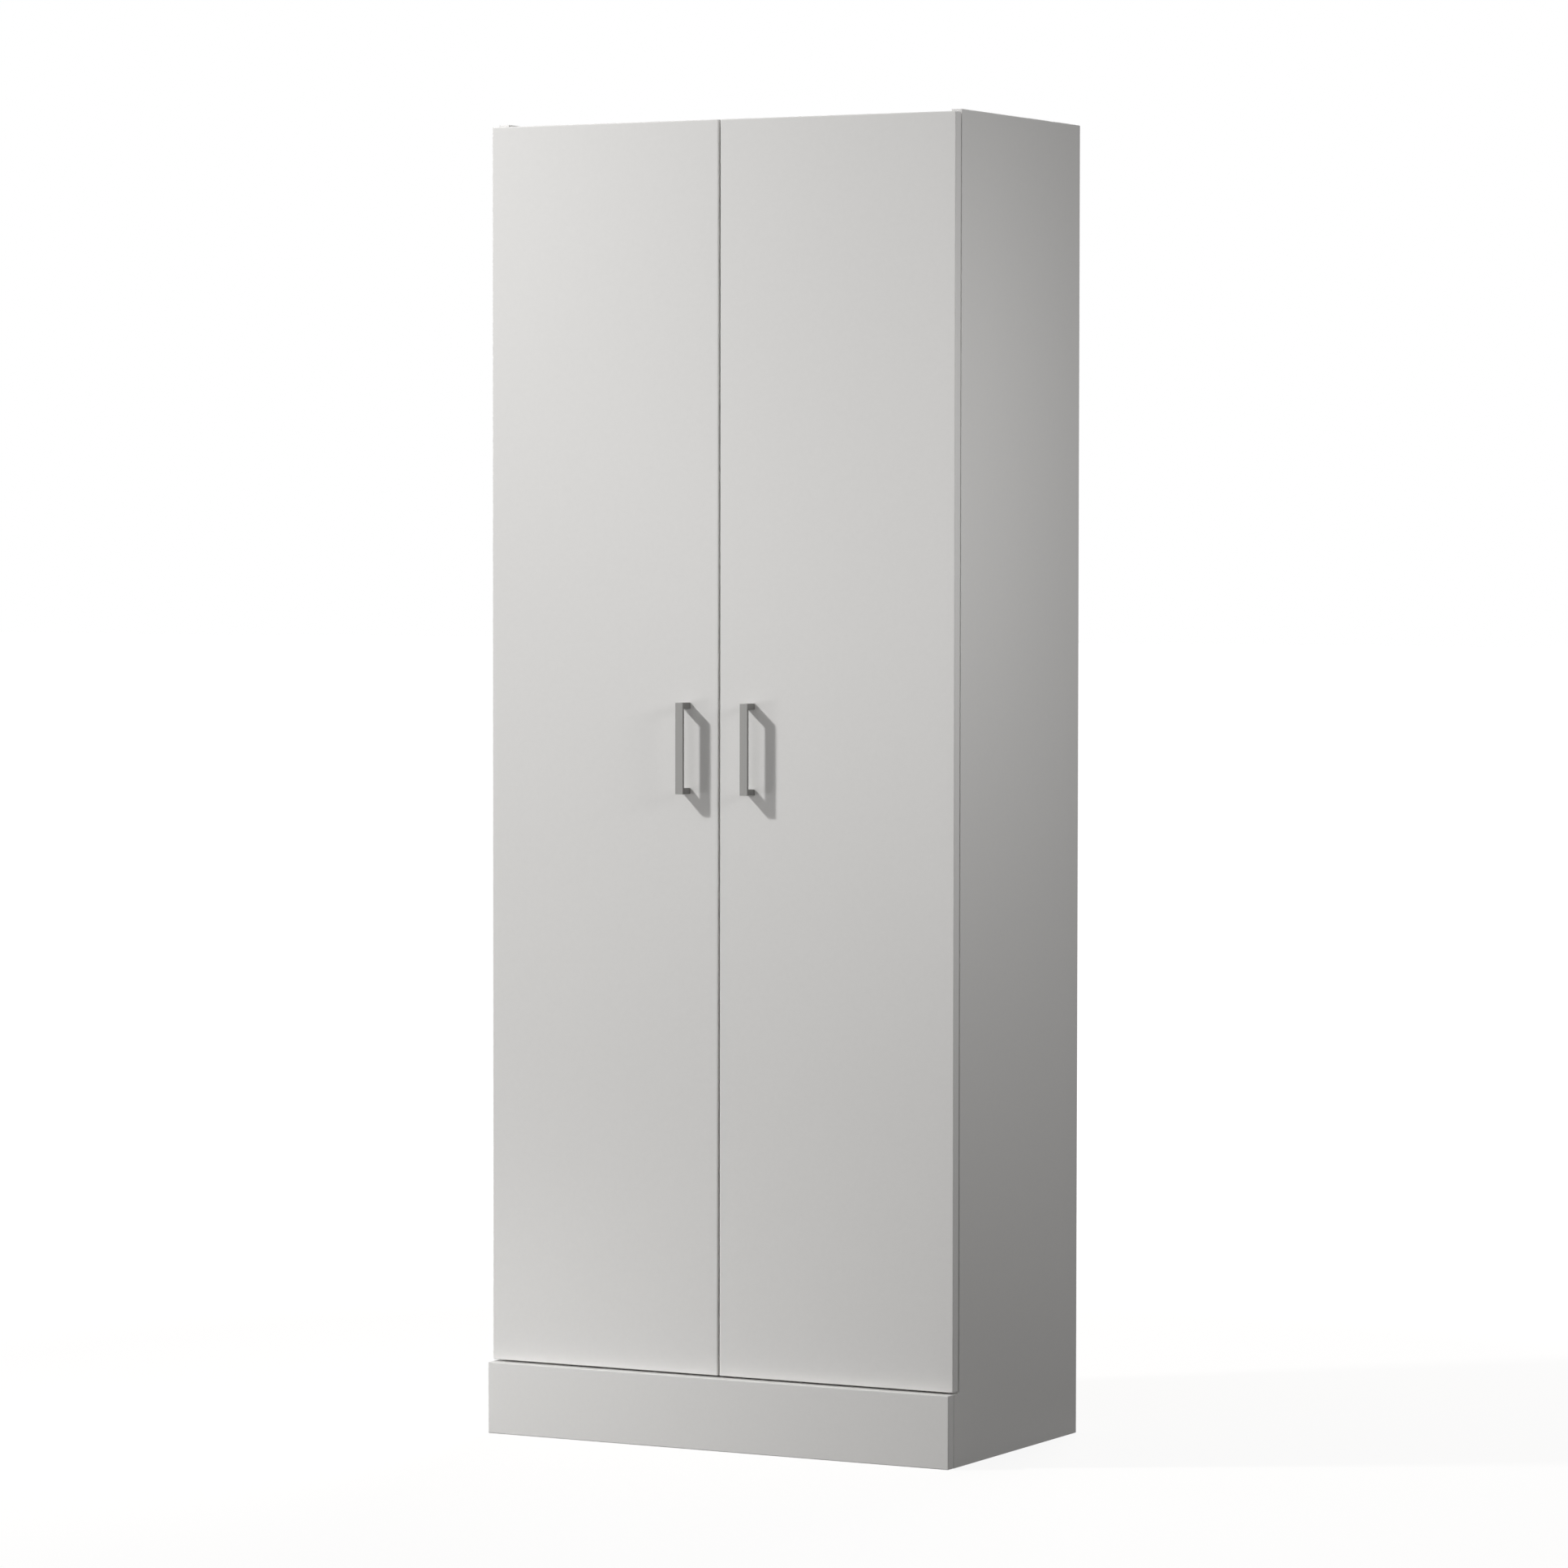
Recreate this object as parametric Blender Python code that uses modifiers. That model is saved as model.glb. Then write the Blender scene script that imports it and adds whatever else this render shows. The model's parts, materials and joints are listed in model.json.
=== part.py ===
"""Tall two-door storage cabinet in white board, with a plinth and two flat bar handles.

Metres, +Z up. The front faces -Y, +X is on the viewer's right, and the origin lies on
the floor below the middle of the whole object's box, handles included.
"""

import math

import bmesh
import bpy
from mathutils import Matrix, Vector

# Overall size
WIDTH = 0.710
HEIGHT = 1.800
BODY_DEPTH = 0.380  # from the doors' front faces to the rear edges

# Boards
BOARD = 0.016  # carcase boards and shelves
DOOR_BOARD = 0.016
BACK_BOARD = 0.003  # hardboard
BOARD_ROUND = 0.0006  # softened edges of the carcase boards
DOOR_ROUND = 0.0012  # softened edges of the doors and the plinth board
BOARD_ROUND_STEPS = 1
DOOR_ROUND_STEPS = 2
ROUND_PROFILE_SHARE = 0.5  # half makes a round edge a quarter circle

# Gaps
FIT = 0.0003  # between pieces that touch
OVERRUN = 0.002  # how far a cut runs past the surface that it starts at
MEETING_GAP = 0.003  # between the two doors
DOOR_GAP = 0.0026  # between the doors' backs and the carcase, which the bumpers fill
SHELF_END_GAP = 0.0015  # at each end of a loose shelf
SHELF_REAR_GAP = 0.001

# Heights and insets
PLINTH_HEIGHT = 0.0985
PLINTH_PROUD = 0.0134  # how far the plinth board stands in front of the doors
DOOR_BOTTOM = 0.101
DOOR_TOP_DROP = 0.0039  # from the side panels' tops down to the doors' tops
TOP_RECESS = 0.008  # from the side panels' tops down to the top panel
SHELF_SETBACK = 0.020  # loose shelves behind the carcase's front edges
RAIL_INSET = 0.012  # rear plinth rail in front of the rear edges
BACK_INSET = 0.008  # hardboard back in front of the rear edges
GROOVE_DEPTH = 0.006
LOWER_SHELF_COUNT = 1  # loose shelves below the fixed one
UPPER_SHELF_COUNT = 2

# Strip that joins the two halves of the back
STRIP_HEIGHT = 0.022
STRIP_WALL = 0.0008
STRIP_WEB = 0.0012

# Shelf pins and their holes
PIN_RADIUS = 0.0025
PIN_INSERT = 0.008
PIN_REACH = 0.0085
PIN_COLLAR_RADIUS = 0.004
PIN_COLLAR = 0.0008
PIN_HOLE_DEPTH = 0.010
PIN_HOLE_PITCH = 0.032
PIN_HOLES_BESIDE = 2  # spare holes above and below the one in use
PIN_FRONT_ROW = 0.037  # behind the carcase's front edge
PIN_REAR_ROW = 0.050  # in front of the hardboard back
PIN_SIDES = 8

# Handles
HANDLE_WIDTH = 0.0115  # of the bar and the posts, across the door
HANDLE_THICKNESS = 0.004  # of the flat bar, front to back
HANDLE_POST = 0.008  # height of a post
HANDLE_LENGTH = 0.1235
HANDLE_REACH = 0.022  # from the door to the front of the bar
HANDLE_EDGE = 0.048  # from the door's free edge to the middle of the bar
HANDLE_HEIGHT = 0.9503  # of the handle's middle above the floor
HANDLE_ROUND = 0.0005
HANDLE_ROUND_STEPS = 2
HANDLE_HOLE_DEPTH = 0.014
SCREW_RADIUS = 0.002
SCREW_IN_HANDLE = 0.010
SCREW_HEAD_RADIUS = 0.0042
SCREW_HEAD = 0.0018
SCREW_HEAD_CROWN_RADIUS = 0.0028
SCREW_HEAD_CROWN = 0.0006
SCREW_SIDES = 12

# Hinge axis, from the door's outer edge and from its front
PIVOT_INSET = 0.007
PIVOT_DEPTH = 0.0076
HINGE_FROM_END = 0.100  # upper and lower hinges from the door's ends
HINGE_ABOVE_SHELF = 0.060  # middle hinge above the fixed shelf

# Hinge pin
HINGE_PIN_RADIUS = 0.001
HINGE_PIN_PROUD = 0.0002  # beyond each cheek
HINGE_PIN_SIDES = 12

# Hinge cup
CUP_HOLE_RADIUS = 0.0175
CUP_HOLE_DEPTH = 0.012
CUP_EDGE = 0.003  # board left between the cup's hole and the door's outer edge
CUP_WALL = 0.0008
CUP_FLOOR = 0.0007
CUP_RIM = 0.0002  # rim above the flange
CUP_SIDES = 24
FLANGE = 0.0009
FLANGE_TRIM = 0.0032  # flange on the outer side of the hinge axis
FLANGE_INNER = 0.0290  # flange on the inner side of the hinge axis
FLANGE_HALF_WIDTH = 0.0190
EAR_START = 0.0170  # screw ears, from the hinge axis
EAR_HALF_SPAN = 0.0300
EAR_ROUND = 0.003
EAR_SCREW_RADIUS = 0.0021
EAR_SCREW_SPACING = 0.048
EAR_STEPS = 3
CHEEK = 0.0014
CHEEK_OUT = 0.00255
CHEEK_IN = 0.0026
CHEEK_RISE = 0.0022

# Hinge arm
ARM_HALF_WIDTH = 0.0036
ARM_PLAY = 0.0004  # between the arm and each cheek
ARM_EYE_RADIUS = 0.0021
ARM_EYE_STEPS = 10
ARM_NOSE_RISE = 0.0004  # nose's rear face behind the hinge axis
ARM_LEG = 0.002
ARM_BEND = 0.0008
ARM_PAD = 0.0026
ARM_PAD_WIDTH = 0.015
ARM_PAD_LENGTH = 0.054
ARM_PAD_ROUND = 0.0008
ARM_PAD_STEPS = 2

# Hinge mounting plate
PLATE_RAIL = 0.0037  # height of the rail above the side panel
PLATE_RAIL_WIDTH = 0.011
PLATE_RAIL_LENGTH = 0.050
PLATE_RAIL_FRONT = 0.0114  # behind the carcase's front edge
PLATE_WING = 0.002
PLATE_WING_LENGTH = 0.044
PLATE_WING_WIDTH = 0.016
PLATE_ROUND = 0.0006
PLATE_ROUND_STEPS = 1
PLATE_SCREW_RADIUS = 0.0026
PLATE_SCREW_SPACING = 0.032
HOLE_SIDES = 12

# Door bumpers
BUMPER_RADIUS = 0.004
BUMPER_EDGE = 0.020  # from the door's free edge
BUMPER_ROUND = 0.0006
BUMPER_SIDES = 16

# Bracket that ties the cabinet to a wall
BRACKET = 0.002
BRACKET_LEG = 0.030
BRACKET_WIDTH = 0.030
BRACKET_HOLE_RADIUS = 0.0026

# Places that follow from the sizes above
WELD = 0.000001
DOOR_FRONT_Y = (HANDLE_REACH - BODY_DEPTH) / 2
DOOR_BACK_Y = DOOR_FRONT_Y + DOOR_BOARD
CARCASE_FRONT_Y = DOOR_BACK_Y + DOOR_GAP
BACK_Y = DOOR_FRONT_Y + BODY_DEPTH
PLINTH_FRONT_Y = DOOR_FRONT_Y - PLINTH_PROUD
FOOT_FRONT_Y = PLINTH_FRONT_Y + BOARD + FIT
BACK_BOARD_REAR_Y = BACK_Y - BACK_INSET
BACK_BOARD_FRONT_Y = BACK_BOARD_REAR_Y - BACK_BOARD
BACK_BOARD_MIDDLE_Y = BACK_BOARD_REAR_Y - BACK_BOARD / 2
STRIP_INSIDE = BACK_BOARD / 2 + FIT
STRIP_OUTSIDE = STRIP_INSIDE + STRIP_WALL
INNER_X = WIDTH / 2 - BOARD
BETWEEN_X = INNER_X - FIT
DOOR_TOP = HEIGHT - DOOR_TOP_DROP
TOP_UNDERSIDE = HEIGHT - TOP_RECESS - BOARD
FIXED_UNDERSIDE = (PLINTH_HEIGHT + TOP_UNDERSIDE - BOARD) / 2
FIXED_TOP = FIXED_UNDERSIDE + BOARD
STRIP_Z = FIXED_UNDERSIDE + BOARD / 2
PIN_ROWS_Y = {
    "front": CARCASE_FRONT_Y + PIN_FRONT_ROW,
    "rear": BACK_BOARD_FRONT_Y - PIN_REAR_ROW,
}
HANDLE_SCREW_OFFSET = (HANDLE_LENGTH - HANDLE_POST) / 2
CUP_CENTRE = CUP_EDGE + CUP_HOLE_RADIUS - PIVOT_INSET  # inwards from the hinge axis
CUP_RADIUS = CUP_HOLE_RADIUS - FIT
HINGE_PIN_LENGTH = 2 * (ARM_HALF_WIDTH + ARM_PLAY + CHEEK + HINGE_PIN_PROUD)
HINGE_LEVELS = {
    "upper": DOOR_TOP - HINGE_FROM_END,
    "middle": FIXED_TOP + HINGE_ABOVE_SHELF,
    "lower": DOOR_BOTTOM + HINGE_FROM_END,
}
SIDES = {"left": -1, "right": 1}
YZ_OUTLINE = Matrix(((0, 0, 1, 0), (1, 0, 0, 0), (0, 1, 0, 0), (0, 0, 0, 1)))

FINISHES = {
    "white_board": ((0.80, 0.79, 0.77), 0.45, 0.0),
    "white_hardboard": ((0.74, 0.73, 0.70), 0.60, 0.0),
    "white_plastic": ((0.78, 0.78, 0.76), 0.40, 0.0),
    "satin_nickel": ((0.42, 0.41, 0.39), 0.35, 1.0),
    "zinc_plate": ((0.62, 0.62, 0.63), 0.30, 1.0),
    "clear_bumper": ((0.70, 0.70, 0.68), 0.50, 0.0),
}


def clear_scene():
    """Remove every object that the scene holds."""
    for old in list(bpy.data.objects):
        bpy.data.objects.remove(old)


def collection(name):
    """A new collection in the scene."""
    made = bpy.data.collections.new(name)
    bpy.context.scene.collection.children.link(made)
    return made


def finish(name):
    """The Principled material of that name, made once."""
    if name in bpy.data.materials:
        return bpy.data.materials[name]
    colour, roughness, metallic = FINISHES[name]
    material = bpy.data.materials.new(name)
    material.use_nodes = True
    shader = material.node_tree.nodes["Principled BSDF"]
    shader.inputs["Base Color"].default_value = (*colour, 1)
    shader.inputs["Roughness"].default_value = roughness
    shader.inputs["Metallic"].default_value = metallic
    material.diffuse_color = (*colour, 1)
    return material


def add_box(shape, low, high):
    """Add a box between two corners to a bmesh."""
    size = [b - a for a, b in zip(low, high)]
    centre = [(a + b) / 2 for a, b in zip(low, high)]
    matrix = Matrix.Translation(centre) @ Matrix.Diagonal((*size, 1))
    bmesh.ops.create_cube(shape, size=1, matrix=matrix)


def along(direction):
    """The turn that points local +Z along a direction."""
    return Vector(direction).to_track_quat("Z", "Y").to_matrix().to_4x4()


def add_cylinder(shape, start, end, radius, sides):
    """Add a capped cylinder between two points to a bmesh."""
    start, end = Vector(start), Vector(end)
    matrix = Matrix.Translation((start + end) / 2) @ along(end - start)
    bmesh.ops.create_cone(
        shape,
        cap_ends=True,
        segments=sides,
        radius1=radius,
        radius2=radius,
        depth=(end - start).length,
        matrix=matrix,
    )


def mesh_from(name, shape):
    """Turn a bmesh into a mesh whose faces point outwards."""
    bmesh.ops.remove_doubles(shape, verts=shape.verts, dist=WELD)
    bmesh.ops.recalc_face_normals(shape, faces=shape.faces)
    mesh = bpy.data.meshes.new(name)
    shape.to_mesh(mesh)
    shape.free()
    return mesh


def freeze(item):
    """The evaluated shape of a working object as a plain mesh; the object goes."""
    name = item.name
    graph = bpy.context.evaluated_depsgraph_get()
    mesh = bpy.data.meshes.new_from_object(item.evaluated_get(graph))
    bpy.data.objects.remove(item)
    shape = bmesh.new()
    shape.from_mesh(mesh)
    bpy.data.meshes.remove(mesh)
    return mesh_from(name, shape)


def working_object(name, data):
    """A temporary object for a curve or a mesh."""
    item = bpy.data.objects.new(name, data)
    bpy.context.scene.collection.objects.link(item)
    return item


def outline_mesh(name, loops, thickness):
    """A flat outline, with any holes, extruded to its thickness about Z = 0."""
    curve = bpy.data.curves.new(name, "CURVE")
    curve.dimensions = "2D"
    curve.fill_mode = "BOTH"
    curve.extrude = thickness / 2
    for loop in loops:
        spline = curve.splines.new("POLY")
        spline.points.add(len(loop) - 1)
        for point, (x, y) in zip(spline.points, loop):
            point.co = (x, y, 0, 1)
        spline.use_cyclic_u = True
    return freeze(working_object(name, curve))


def turned_mesh(name, profile, sides):
    """A profile of (radius, height) points, top to bottom, turned about Z."""
    mesh = bpy.data.meshes.new(name)
    points = [(radius, 0, height) for radius, height in profile]
    edges = [(i, i + 1) for i in range(len(points) - 1)]
    mesh.from_pydata(points, edges, [])
    item = working_object(name, mesh)
    screw = item.modifiers.new("Turn", "SCREW")
    screw.steps = sides
    screw.render_steps = sides
    screw.use_merge_vertices = True
    screw.merge_threshold = WELD
    return freeze(item)


def arc(centre, radius, start, end, steps):
    """Points on an arc between two angles in degrees."""
    turn = (end - start) / steps
    angles = [math.radians(start + turn * i) for i in range(steps + 1)]
    return [(centre[0] + radius * math.cos(a), centre[1] + radius * math.sin(a)) for a in angles]


def add_part(name, mesh, finish_name, place=(0, 0, 0), turn=(0, 0, 0), carrier=None):
    """Add a named sub-part, at a place in the object's own frame."""
    mesh.materials.clear()
    mesh.materials.append(finish(finish_name))
    mesh.shade_smooth()
    mesh.set_sharp_from_angle(angle=math.radians(30))
    part = bpy.data.objects.new(name, mesh)
    PARTS.objects.link(part)
    part.location = place
    part.rotation_euler = turn
    if carrier:
        part.parent = carrier
        part.location = Vector(place) - carrier.location
    return part


def add_board(name, low, high, finish_name, rounding, steps, carrier=None):
    """Add a board between two corners, with softened edges."""
    centre = [(a + b) / 2 for a, b in zip(low, high)]
    half = [(b - a) / 2 for a, b in zip(low, high)]
    shape = bmesh.new()
    add_box(shape, [-h for h in half], half)
    board = add_part(name, mesh_from(name, shape), finish_name, centre, carrier=carrier)
    round_edges(board, rounding, steps)
    return board


def round_edges(part, width, steps):
    """Soften the sharp edges of a part."""
    bevel = part.modifiers.new("Round edges", "BEVEL")
    bevel.width = width
    bevel.segments = steps


def combine(part, shape, name, operation):
    """Cut a bmesh's shape from a part, or join it on, in the object's own frame."""
    tool = bpy.data.objects.new(name, mesh_from(name, shape))
    CUTTERS.objects.link(tool)
    tool.hide_render = True
    tool.display_type = "WIRE"
    boolean = part.modifiers.new(name, "BOOLEAN")
    boolean.operation = operation
    boolean.solver = "EXACT"
    boolean.object = tool


def shelf_undersides():
    """Heights of the loose shelves, spread evenly below and above the fixed one."""
    spaces = (
        (PLINTH_HEIGHT, FIXED_UNDERSIDE, LOWER_SHELF_COUNT),
        (FIXED_TOP, TOP_UNDERSIDE, UPPER_SHELF_COUNT),
    )
    levels = []
    for low, high, count in spaces:
        clear = (high - low - count * BOARD) / (count + 1)
        levels += [low + clear * (i + 1) + BOARD * i for i in range(count)]
    return levels


def pin_level(underside):
    """Height of the pins that carry a loose shelf."""
    return underside - FIT - PIN_RADIUS


def add_side_panel(name, side):
    """Side panel with a foot in front, holes for shelf pins and a groove for the back."""
    outline = [
        (CARCASE_FRONT_Y, HEIGHT),
        (CARCASE_FRONT_Y, PLINTH_HEIGHT),
        (FOOT_FRONT_Y, PLINTH_HEIGHT),
        (FOOT_FRONT_Y, 0),
        (BACK_Y, 0),
        (BACK_Y, HEIGHT),
    ]
    mesh = outline_mesh(name, [outline], BOARD)
    mesh.transform(YZ_OUTLINE)
    panel = add_part(name, mesh, "white_board", (side * (WIDTH - BOARD) / 2, 0, 0))
    round_edges(panel, BOARD_ROUND, BOARD_ROUND_STEPS)
    cuts = bmesh.new()
    mouth = side * (INNER_X - OVERRUN)
    hole_end = side * (INNER_X + PIN_HOLE_DEPTH)
    for underside in shelf_undersides():
        for step in range(-PIN_HOLES_BESIDE, PIN_HOLES_BESIDE + 1):
            z = pin_level(underside) + step * PIN_HOLE_PITCH
            for y in PIN_ROWS_Y.values():
                add_cylinder(cuts, (mouth, y, z), (hole_end, y, z), PIN_RADIUS + FIT, PIN_SIDES)
    groove = sorted((mouth, side * (INNER_X + GROOVE_DEPTH)))
    add_box(
        cuts,
        (groove[0], BACK_BOARD_FRONT_Y - FIT, PLINTH_HEIGHT - GROOVE_DEPTH),
        (groove[1], BACK_BOARD_REAR_Y + FIT, TOP_UNDERSIDE + GROOVE_DEPTH),
    )
    combine(panel, cuts, name + "_cuts", "DIFFERENCE")


def add_level_board(name, front_y, rear_y, underside, groove=0):
    """Board between the side panels; a groove above (1) or below (-1) takes the back."""
    board = add_board(
        name,
        (-BETWEEN_X, front_y, underside),
        (BETWEEN_X, rear_y, underside + BOARD),
        "white_board",
        BOARD_ROUND,
        BOARD_ROUND_STEPS,
    )
    if groove:
        face = underside + BOARD if groove > 0 else underside
        ends = sorted((face + groove * OVERRUN, face - groove * GROOVE_DEPTH))
        across = BETWEEN_X + OVERRUN
        cuts = bmesh.new()
        add_box(
            cuts,
            (-across, BACK_BOARD_FRONT_Y - FIT, ends[0]),
            (across, BACK_BOARD_REAR_Y + FIT, ends[1]),
        )
        combine(board, cuts, name + "_groove", "DIFFERENCE")


def add_loose_shelves():
    """Shelves that lie on pins in the side panels' holes."""
    end_x = INNER_X - SHELF_END_GAP
    front_y = CARCASE_FRONT_Y + SHELF_SETBACK
    rear_y = BACK_BOARD_FRONT_Y - SHELF_REAR_GAP
    for number, underside in enumerate(shelf_undersides(), start=1):
        add_board(
            f"adjustable_shelf_{number}",
            (-end_x, front_y, underside),
            (end_x, rear_y, underside + BOARD),
            "white_board",
            BOARD_ROUND,
            BOARD_ROUND_STEPS,
        )


def add_shelf_pins():
    """Four pins below each loose shelf, with a collar against the side panel."""
    profile = [
        (0, PIN_REACH),
        (PIN_RADIUS, PIN_REACH),
        (PIN_RADIUS, FIT + PIN_COLLAR),
        (PIN_COLLAR_RADIUS, FIT + PIN_COLLAR),
        (PIN_COLLAR_RADIUS, FIT),
        (PIN_RADIUS, FIT),
        (PIN_RADIUS, -PIN_INSERT),
        (0, -PIN_INSERT),
    ]
    mesh = turned_mesh("shelf_pin", profile, PIN_SIDES)
    for number, underside in enumerate(shelf_undersides(), start=1):
        for side_name, side in SIDES.items():
            turn = along((-side, 0, 0)).to_euler()
            for row, y in PIN_ROWS_Y.items():
                name = f"shelf_{number}_pin_{side_name}_{row}"
                place = (side * INNER_X, y, pin_level(underside))
                add_part(name, mesh, "zinc_plate", place, turn)


def add_plinth():
    """Plinth board across the front and a rail between the sides at the rear."""
    add_board(
        "plinth_board",
        (-WIDTH / 2, PLINTH_FRONT_Y, 0),
        (WIDTH / 2, PLINTH_FRONT_Y + BOARD, PLINTH_HEIGHT),
        "white_board",
        DOOR_ROUND,
        DOOR_ROUND_STEPS,
    )
    rail_rear = BACK_Y - RAIL_INSET
    add_board(
        "rear_plinth_rail",
        (-BETWEEN_X, rail_rear - BOARD, 0),
        (BETWEEN_X, rail_rear, PLINTH_HEIGHT - BOARD - FIT),
        "white_board",
        BOARD_ROUND,
        BOARD_ROUND_STEPS,
    )


def add_back():
    """Hardboard back in two halves, joined behind the fixed shelf by a plastic strip."""
    half_width = INNER_X + GROOVE_DEPTH - FIT
    web_gap = STRIP_WEB / 2 + FIT
    halves = {
        "lower_back_panel": (PLINTH_HEIGHT - GROOVE_DEPTH + FIT, STRIP_Z - web_gap),
        "upper_back_panel": (STRIP_Z + web_gap, TOP_UNDERSIDE + GROOVE_DEPTH - FIT),
    }
    for name, (low, high) in halves.items():
        shape = bmesh.new()
        middle = (low + high) / 2
        add_box(
            shape,
            (-half_width, -BACK_BOARD / 2, low - middle),
            (half_width, BACK_BOARD / 2, high - middle),
        )
        place = (0, BACK_BOARD_MIDDLE_Y, middle)
        add_part(name, mesh_from(name, shape), "white_hardboard", place)
    out, inside = STRIP_OUTSIDE, STRIP_INSIDE
    end, web = STRIP_HEIGHT / 2, STRIP_WEB / 2
    outline = [
        (-out, -end),
        (-inside, -end),
        (-inside, -web),
        (inside, -web),
        (inside, -end),
        (out, -end),
        (out, end),
        (inside, end),
        (inside, web),
        (-inside, web),
        (-inside, end),
        (-out, end),
    ]
    mesh = outline_mesh("back_joining_strip", [outline], 2 * BETWEEN_X)
    mesh.transform(YZ_OUTLINE)
    add_part("back_joining_strip", mesh, "white_plastic", (0, BACK_BOARD_MIDDLE_Y, STRIP_Z))


def add_wall_bracket():
    """Angle bracket in the upper rear corner, with a hole in each leg."""
    outline = [
        (0, 0),
        (-BRACKET_LEG, 0),
        (-BRACKET_LEG, -BRACKET),
        (-BRACKET, -BRACKET),
        (-BRACKET, -BRACKET_LEG),
        (0, -BRACKET_LEG),
    ]
    mesh = outline_mesh("wall_bracket", [outline], BRACKET_WIDTH)
    mesh.transform(YZ_OUTLINE)
    rear_y = BACK_BOARD_FRONT_Y - FIT
    top_z = TOP_UNDERSIDE - FIT
    bracket = add_part("wall_bracket", mesh, "zinc_plate", (0, rear_y, top_z))
    cuts = bmesh.new()
    hole_y = rear_y - (BRACKET_LEG + BRACKET) / 2
    hole_z = top_z - (BRACKET_LEG + BRACKET) / 2
    add_cylinder(
        cuts,
        (0, hole_y, top_z - BRACKET - OVERRUN),
        (0, hole_y, top_z + OVERRUN),
        BRACKET_HOLE_RADIUS,
        HOLE_SIDES,
    )
    add_cylinder(
        cuts,
        (0, rear_y - BRACKET - OVERRUN, hole_z),
        (0, rear_y + OVERRUN, hole_z),
        BRACKET_HOLE_RADIUS,
        HOLE_SIDES,
    )
    combine(bracket, cuts, "wall_bracket_holes", "DIFFERENCE")


def handle_x(side):
    """Middle of a handle's bar."""
    return side * (MEETING_GAP / 2 + HANDLE_EDGE)


def handle_screw_levels():
    """Heights of a handle's two screws."""
    return {
        "upper": HANDLE_HEIGHT + HANDLE_SCREW_OFFSET,
        "lower": HANDLE_HEIGHT - HANDLE_SCREW_OFFSET,
    }


def add_door(side_name, side, axis):
    """Door board, with holes for the hinge cups and the handle's screws."""
    name = side_name + "_door"
    ends = sorted((side * MEETING_GAP / 2, side * WIDTH / 2))
    door = add_board(
        name,
        (ends[0], DOOR_FRONT_Y, DOOR_BOTTOM),
        (ends[1], DOOR_BACK_Y, DOOR_TOP),
        "white_board",
        DOOR_ROUND,
        DOOR_ROUND_STEPS,
        axis,
    )
    cuts = bmesh.new()
    cup_x = side * (WIDTH / 2 - PIVOT_INSET - CUP_CENTRE)
    for z in HINGE_LEVELS.values():
        add_cylinder(
            cuts,
            (cup_x, DOOR_BACK_Y - CUP_HOLE_DEPTH, z),
            (cup_x, DOOR_BACK_Y + OVERRUN, z),
            CUP_HOLE_RADIUS,
            CUP_SIDES,
        )
    for z in handle_screw_levels().values():
        add_cylinder(
            cuts,
            (handle_x(side), DOOR_FRONT_Y - OVERRUN, z),
            (handle_x(side), DOOR_BACK_Y + OVERRUN, z),
            SCREW_RADIUS + FIT,
            SCREW_SIDES,
        )
    combine(door, cuts, name + "_holes", "DIFFERENCE")


def add_handle(side_name, side, axis):
    """Flat bar on two posts at its ends, and its two screws."""
    name = side_name + "_handle"
    end = HANDLE_LENGTH / 2
    bar_back = -HANDLE_REACH + HANDLE_THICKNESS
    outline = [
        (-FIT, -end),
        (-HANDLE_REACH, -end),
        (-HANDLE_REACH, end),
        (-FIT, end),
        (-FIT, end - HANDLE_POST),
        (bar_back, end - HANDLE_POST),
        (bar_back, HANDLE_POST - end),
        (-FIT, HANDLE_POST - end),
    ]
    mesh = outline_mesh(name, [outline], HANDLE_WIDTH)
    mesh.transform(YZ_OUTLINE)
    place = (handle_x(side), DOOR_FRONT_Y, HANDLE_HEIGHT)
    handle = add_part(name, mesh, "satin_nickel", place, carrier=axis)
    round_edges(handle, HANDLE_ROUND, HANDLE_ROUND_STEPS)
    cuts = bmesh.new()
    for z in handle_screw_levels().values():
        add_cylinder(
            cuts,
            (handle_x(side), DOOR_FRONT_Y - HANDLE_HOLE_DEPTH, z),
            (handle_x(side), DOOR_FRONT_Y + OVERRUN, z),
            SCREW_RADIUS + FIT,
            SCREW_SIDES,
        )
    combine(handle, cuts, name + "_holes", "DIFFERENCE")
    turn = along((0, 1, 0)).to_euler()
    for level, z in handle_screw_levels().items():
        place = (handle_x(side), DOOR_BACK_Y + FIT, z)
        part_name = f"{side_name}_handle_{level}_screw"
        add_part(part_name, MESHES["handle_screw"], "zinc_plate", place, turn, axis)


def handle_screw_mesh():
    """Screw with a low crowned head; Z = 0 is the head's seat."""
    shank = -(DOOR_BOARD + FIT + SCREW_IN_HANDLE)
    profile = [
        (0, SCREW_HEAD),
        (SCREW_HEAD_CROWN_RADIUS, SCREW_HEAD),
        (SCREW_HEAD_RADIUS, SCREW_HEAD - SCREW_HEAD_CROWN),
        (SCREW_HEAD_RADIUS, 0),
        (SCREW_RADIUS, 0),
        (SCREW_RADIUS, shank),
        (0, shank),
    ]
    return turned_mesh("handle_screw", profile, SCREW_SIDES)


def hinge_pin_mesh():
    """Plain pin about the hinge axis."""
    end = HINGE_PIN_LENGTH / 2
    profile = [(0, end), (HINGE_PIN_RADIUS, end), (HINGE_PIN_RADIUS, -end), (0, -end)]
    return turned_mesh("hinge_pin", profile, HINGE_PIN_SIDES)


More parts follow.
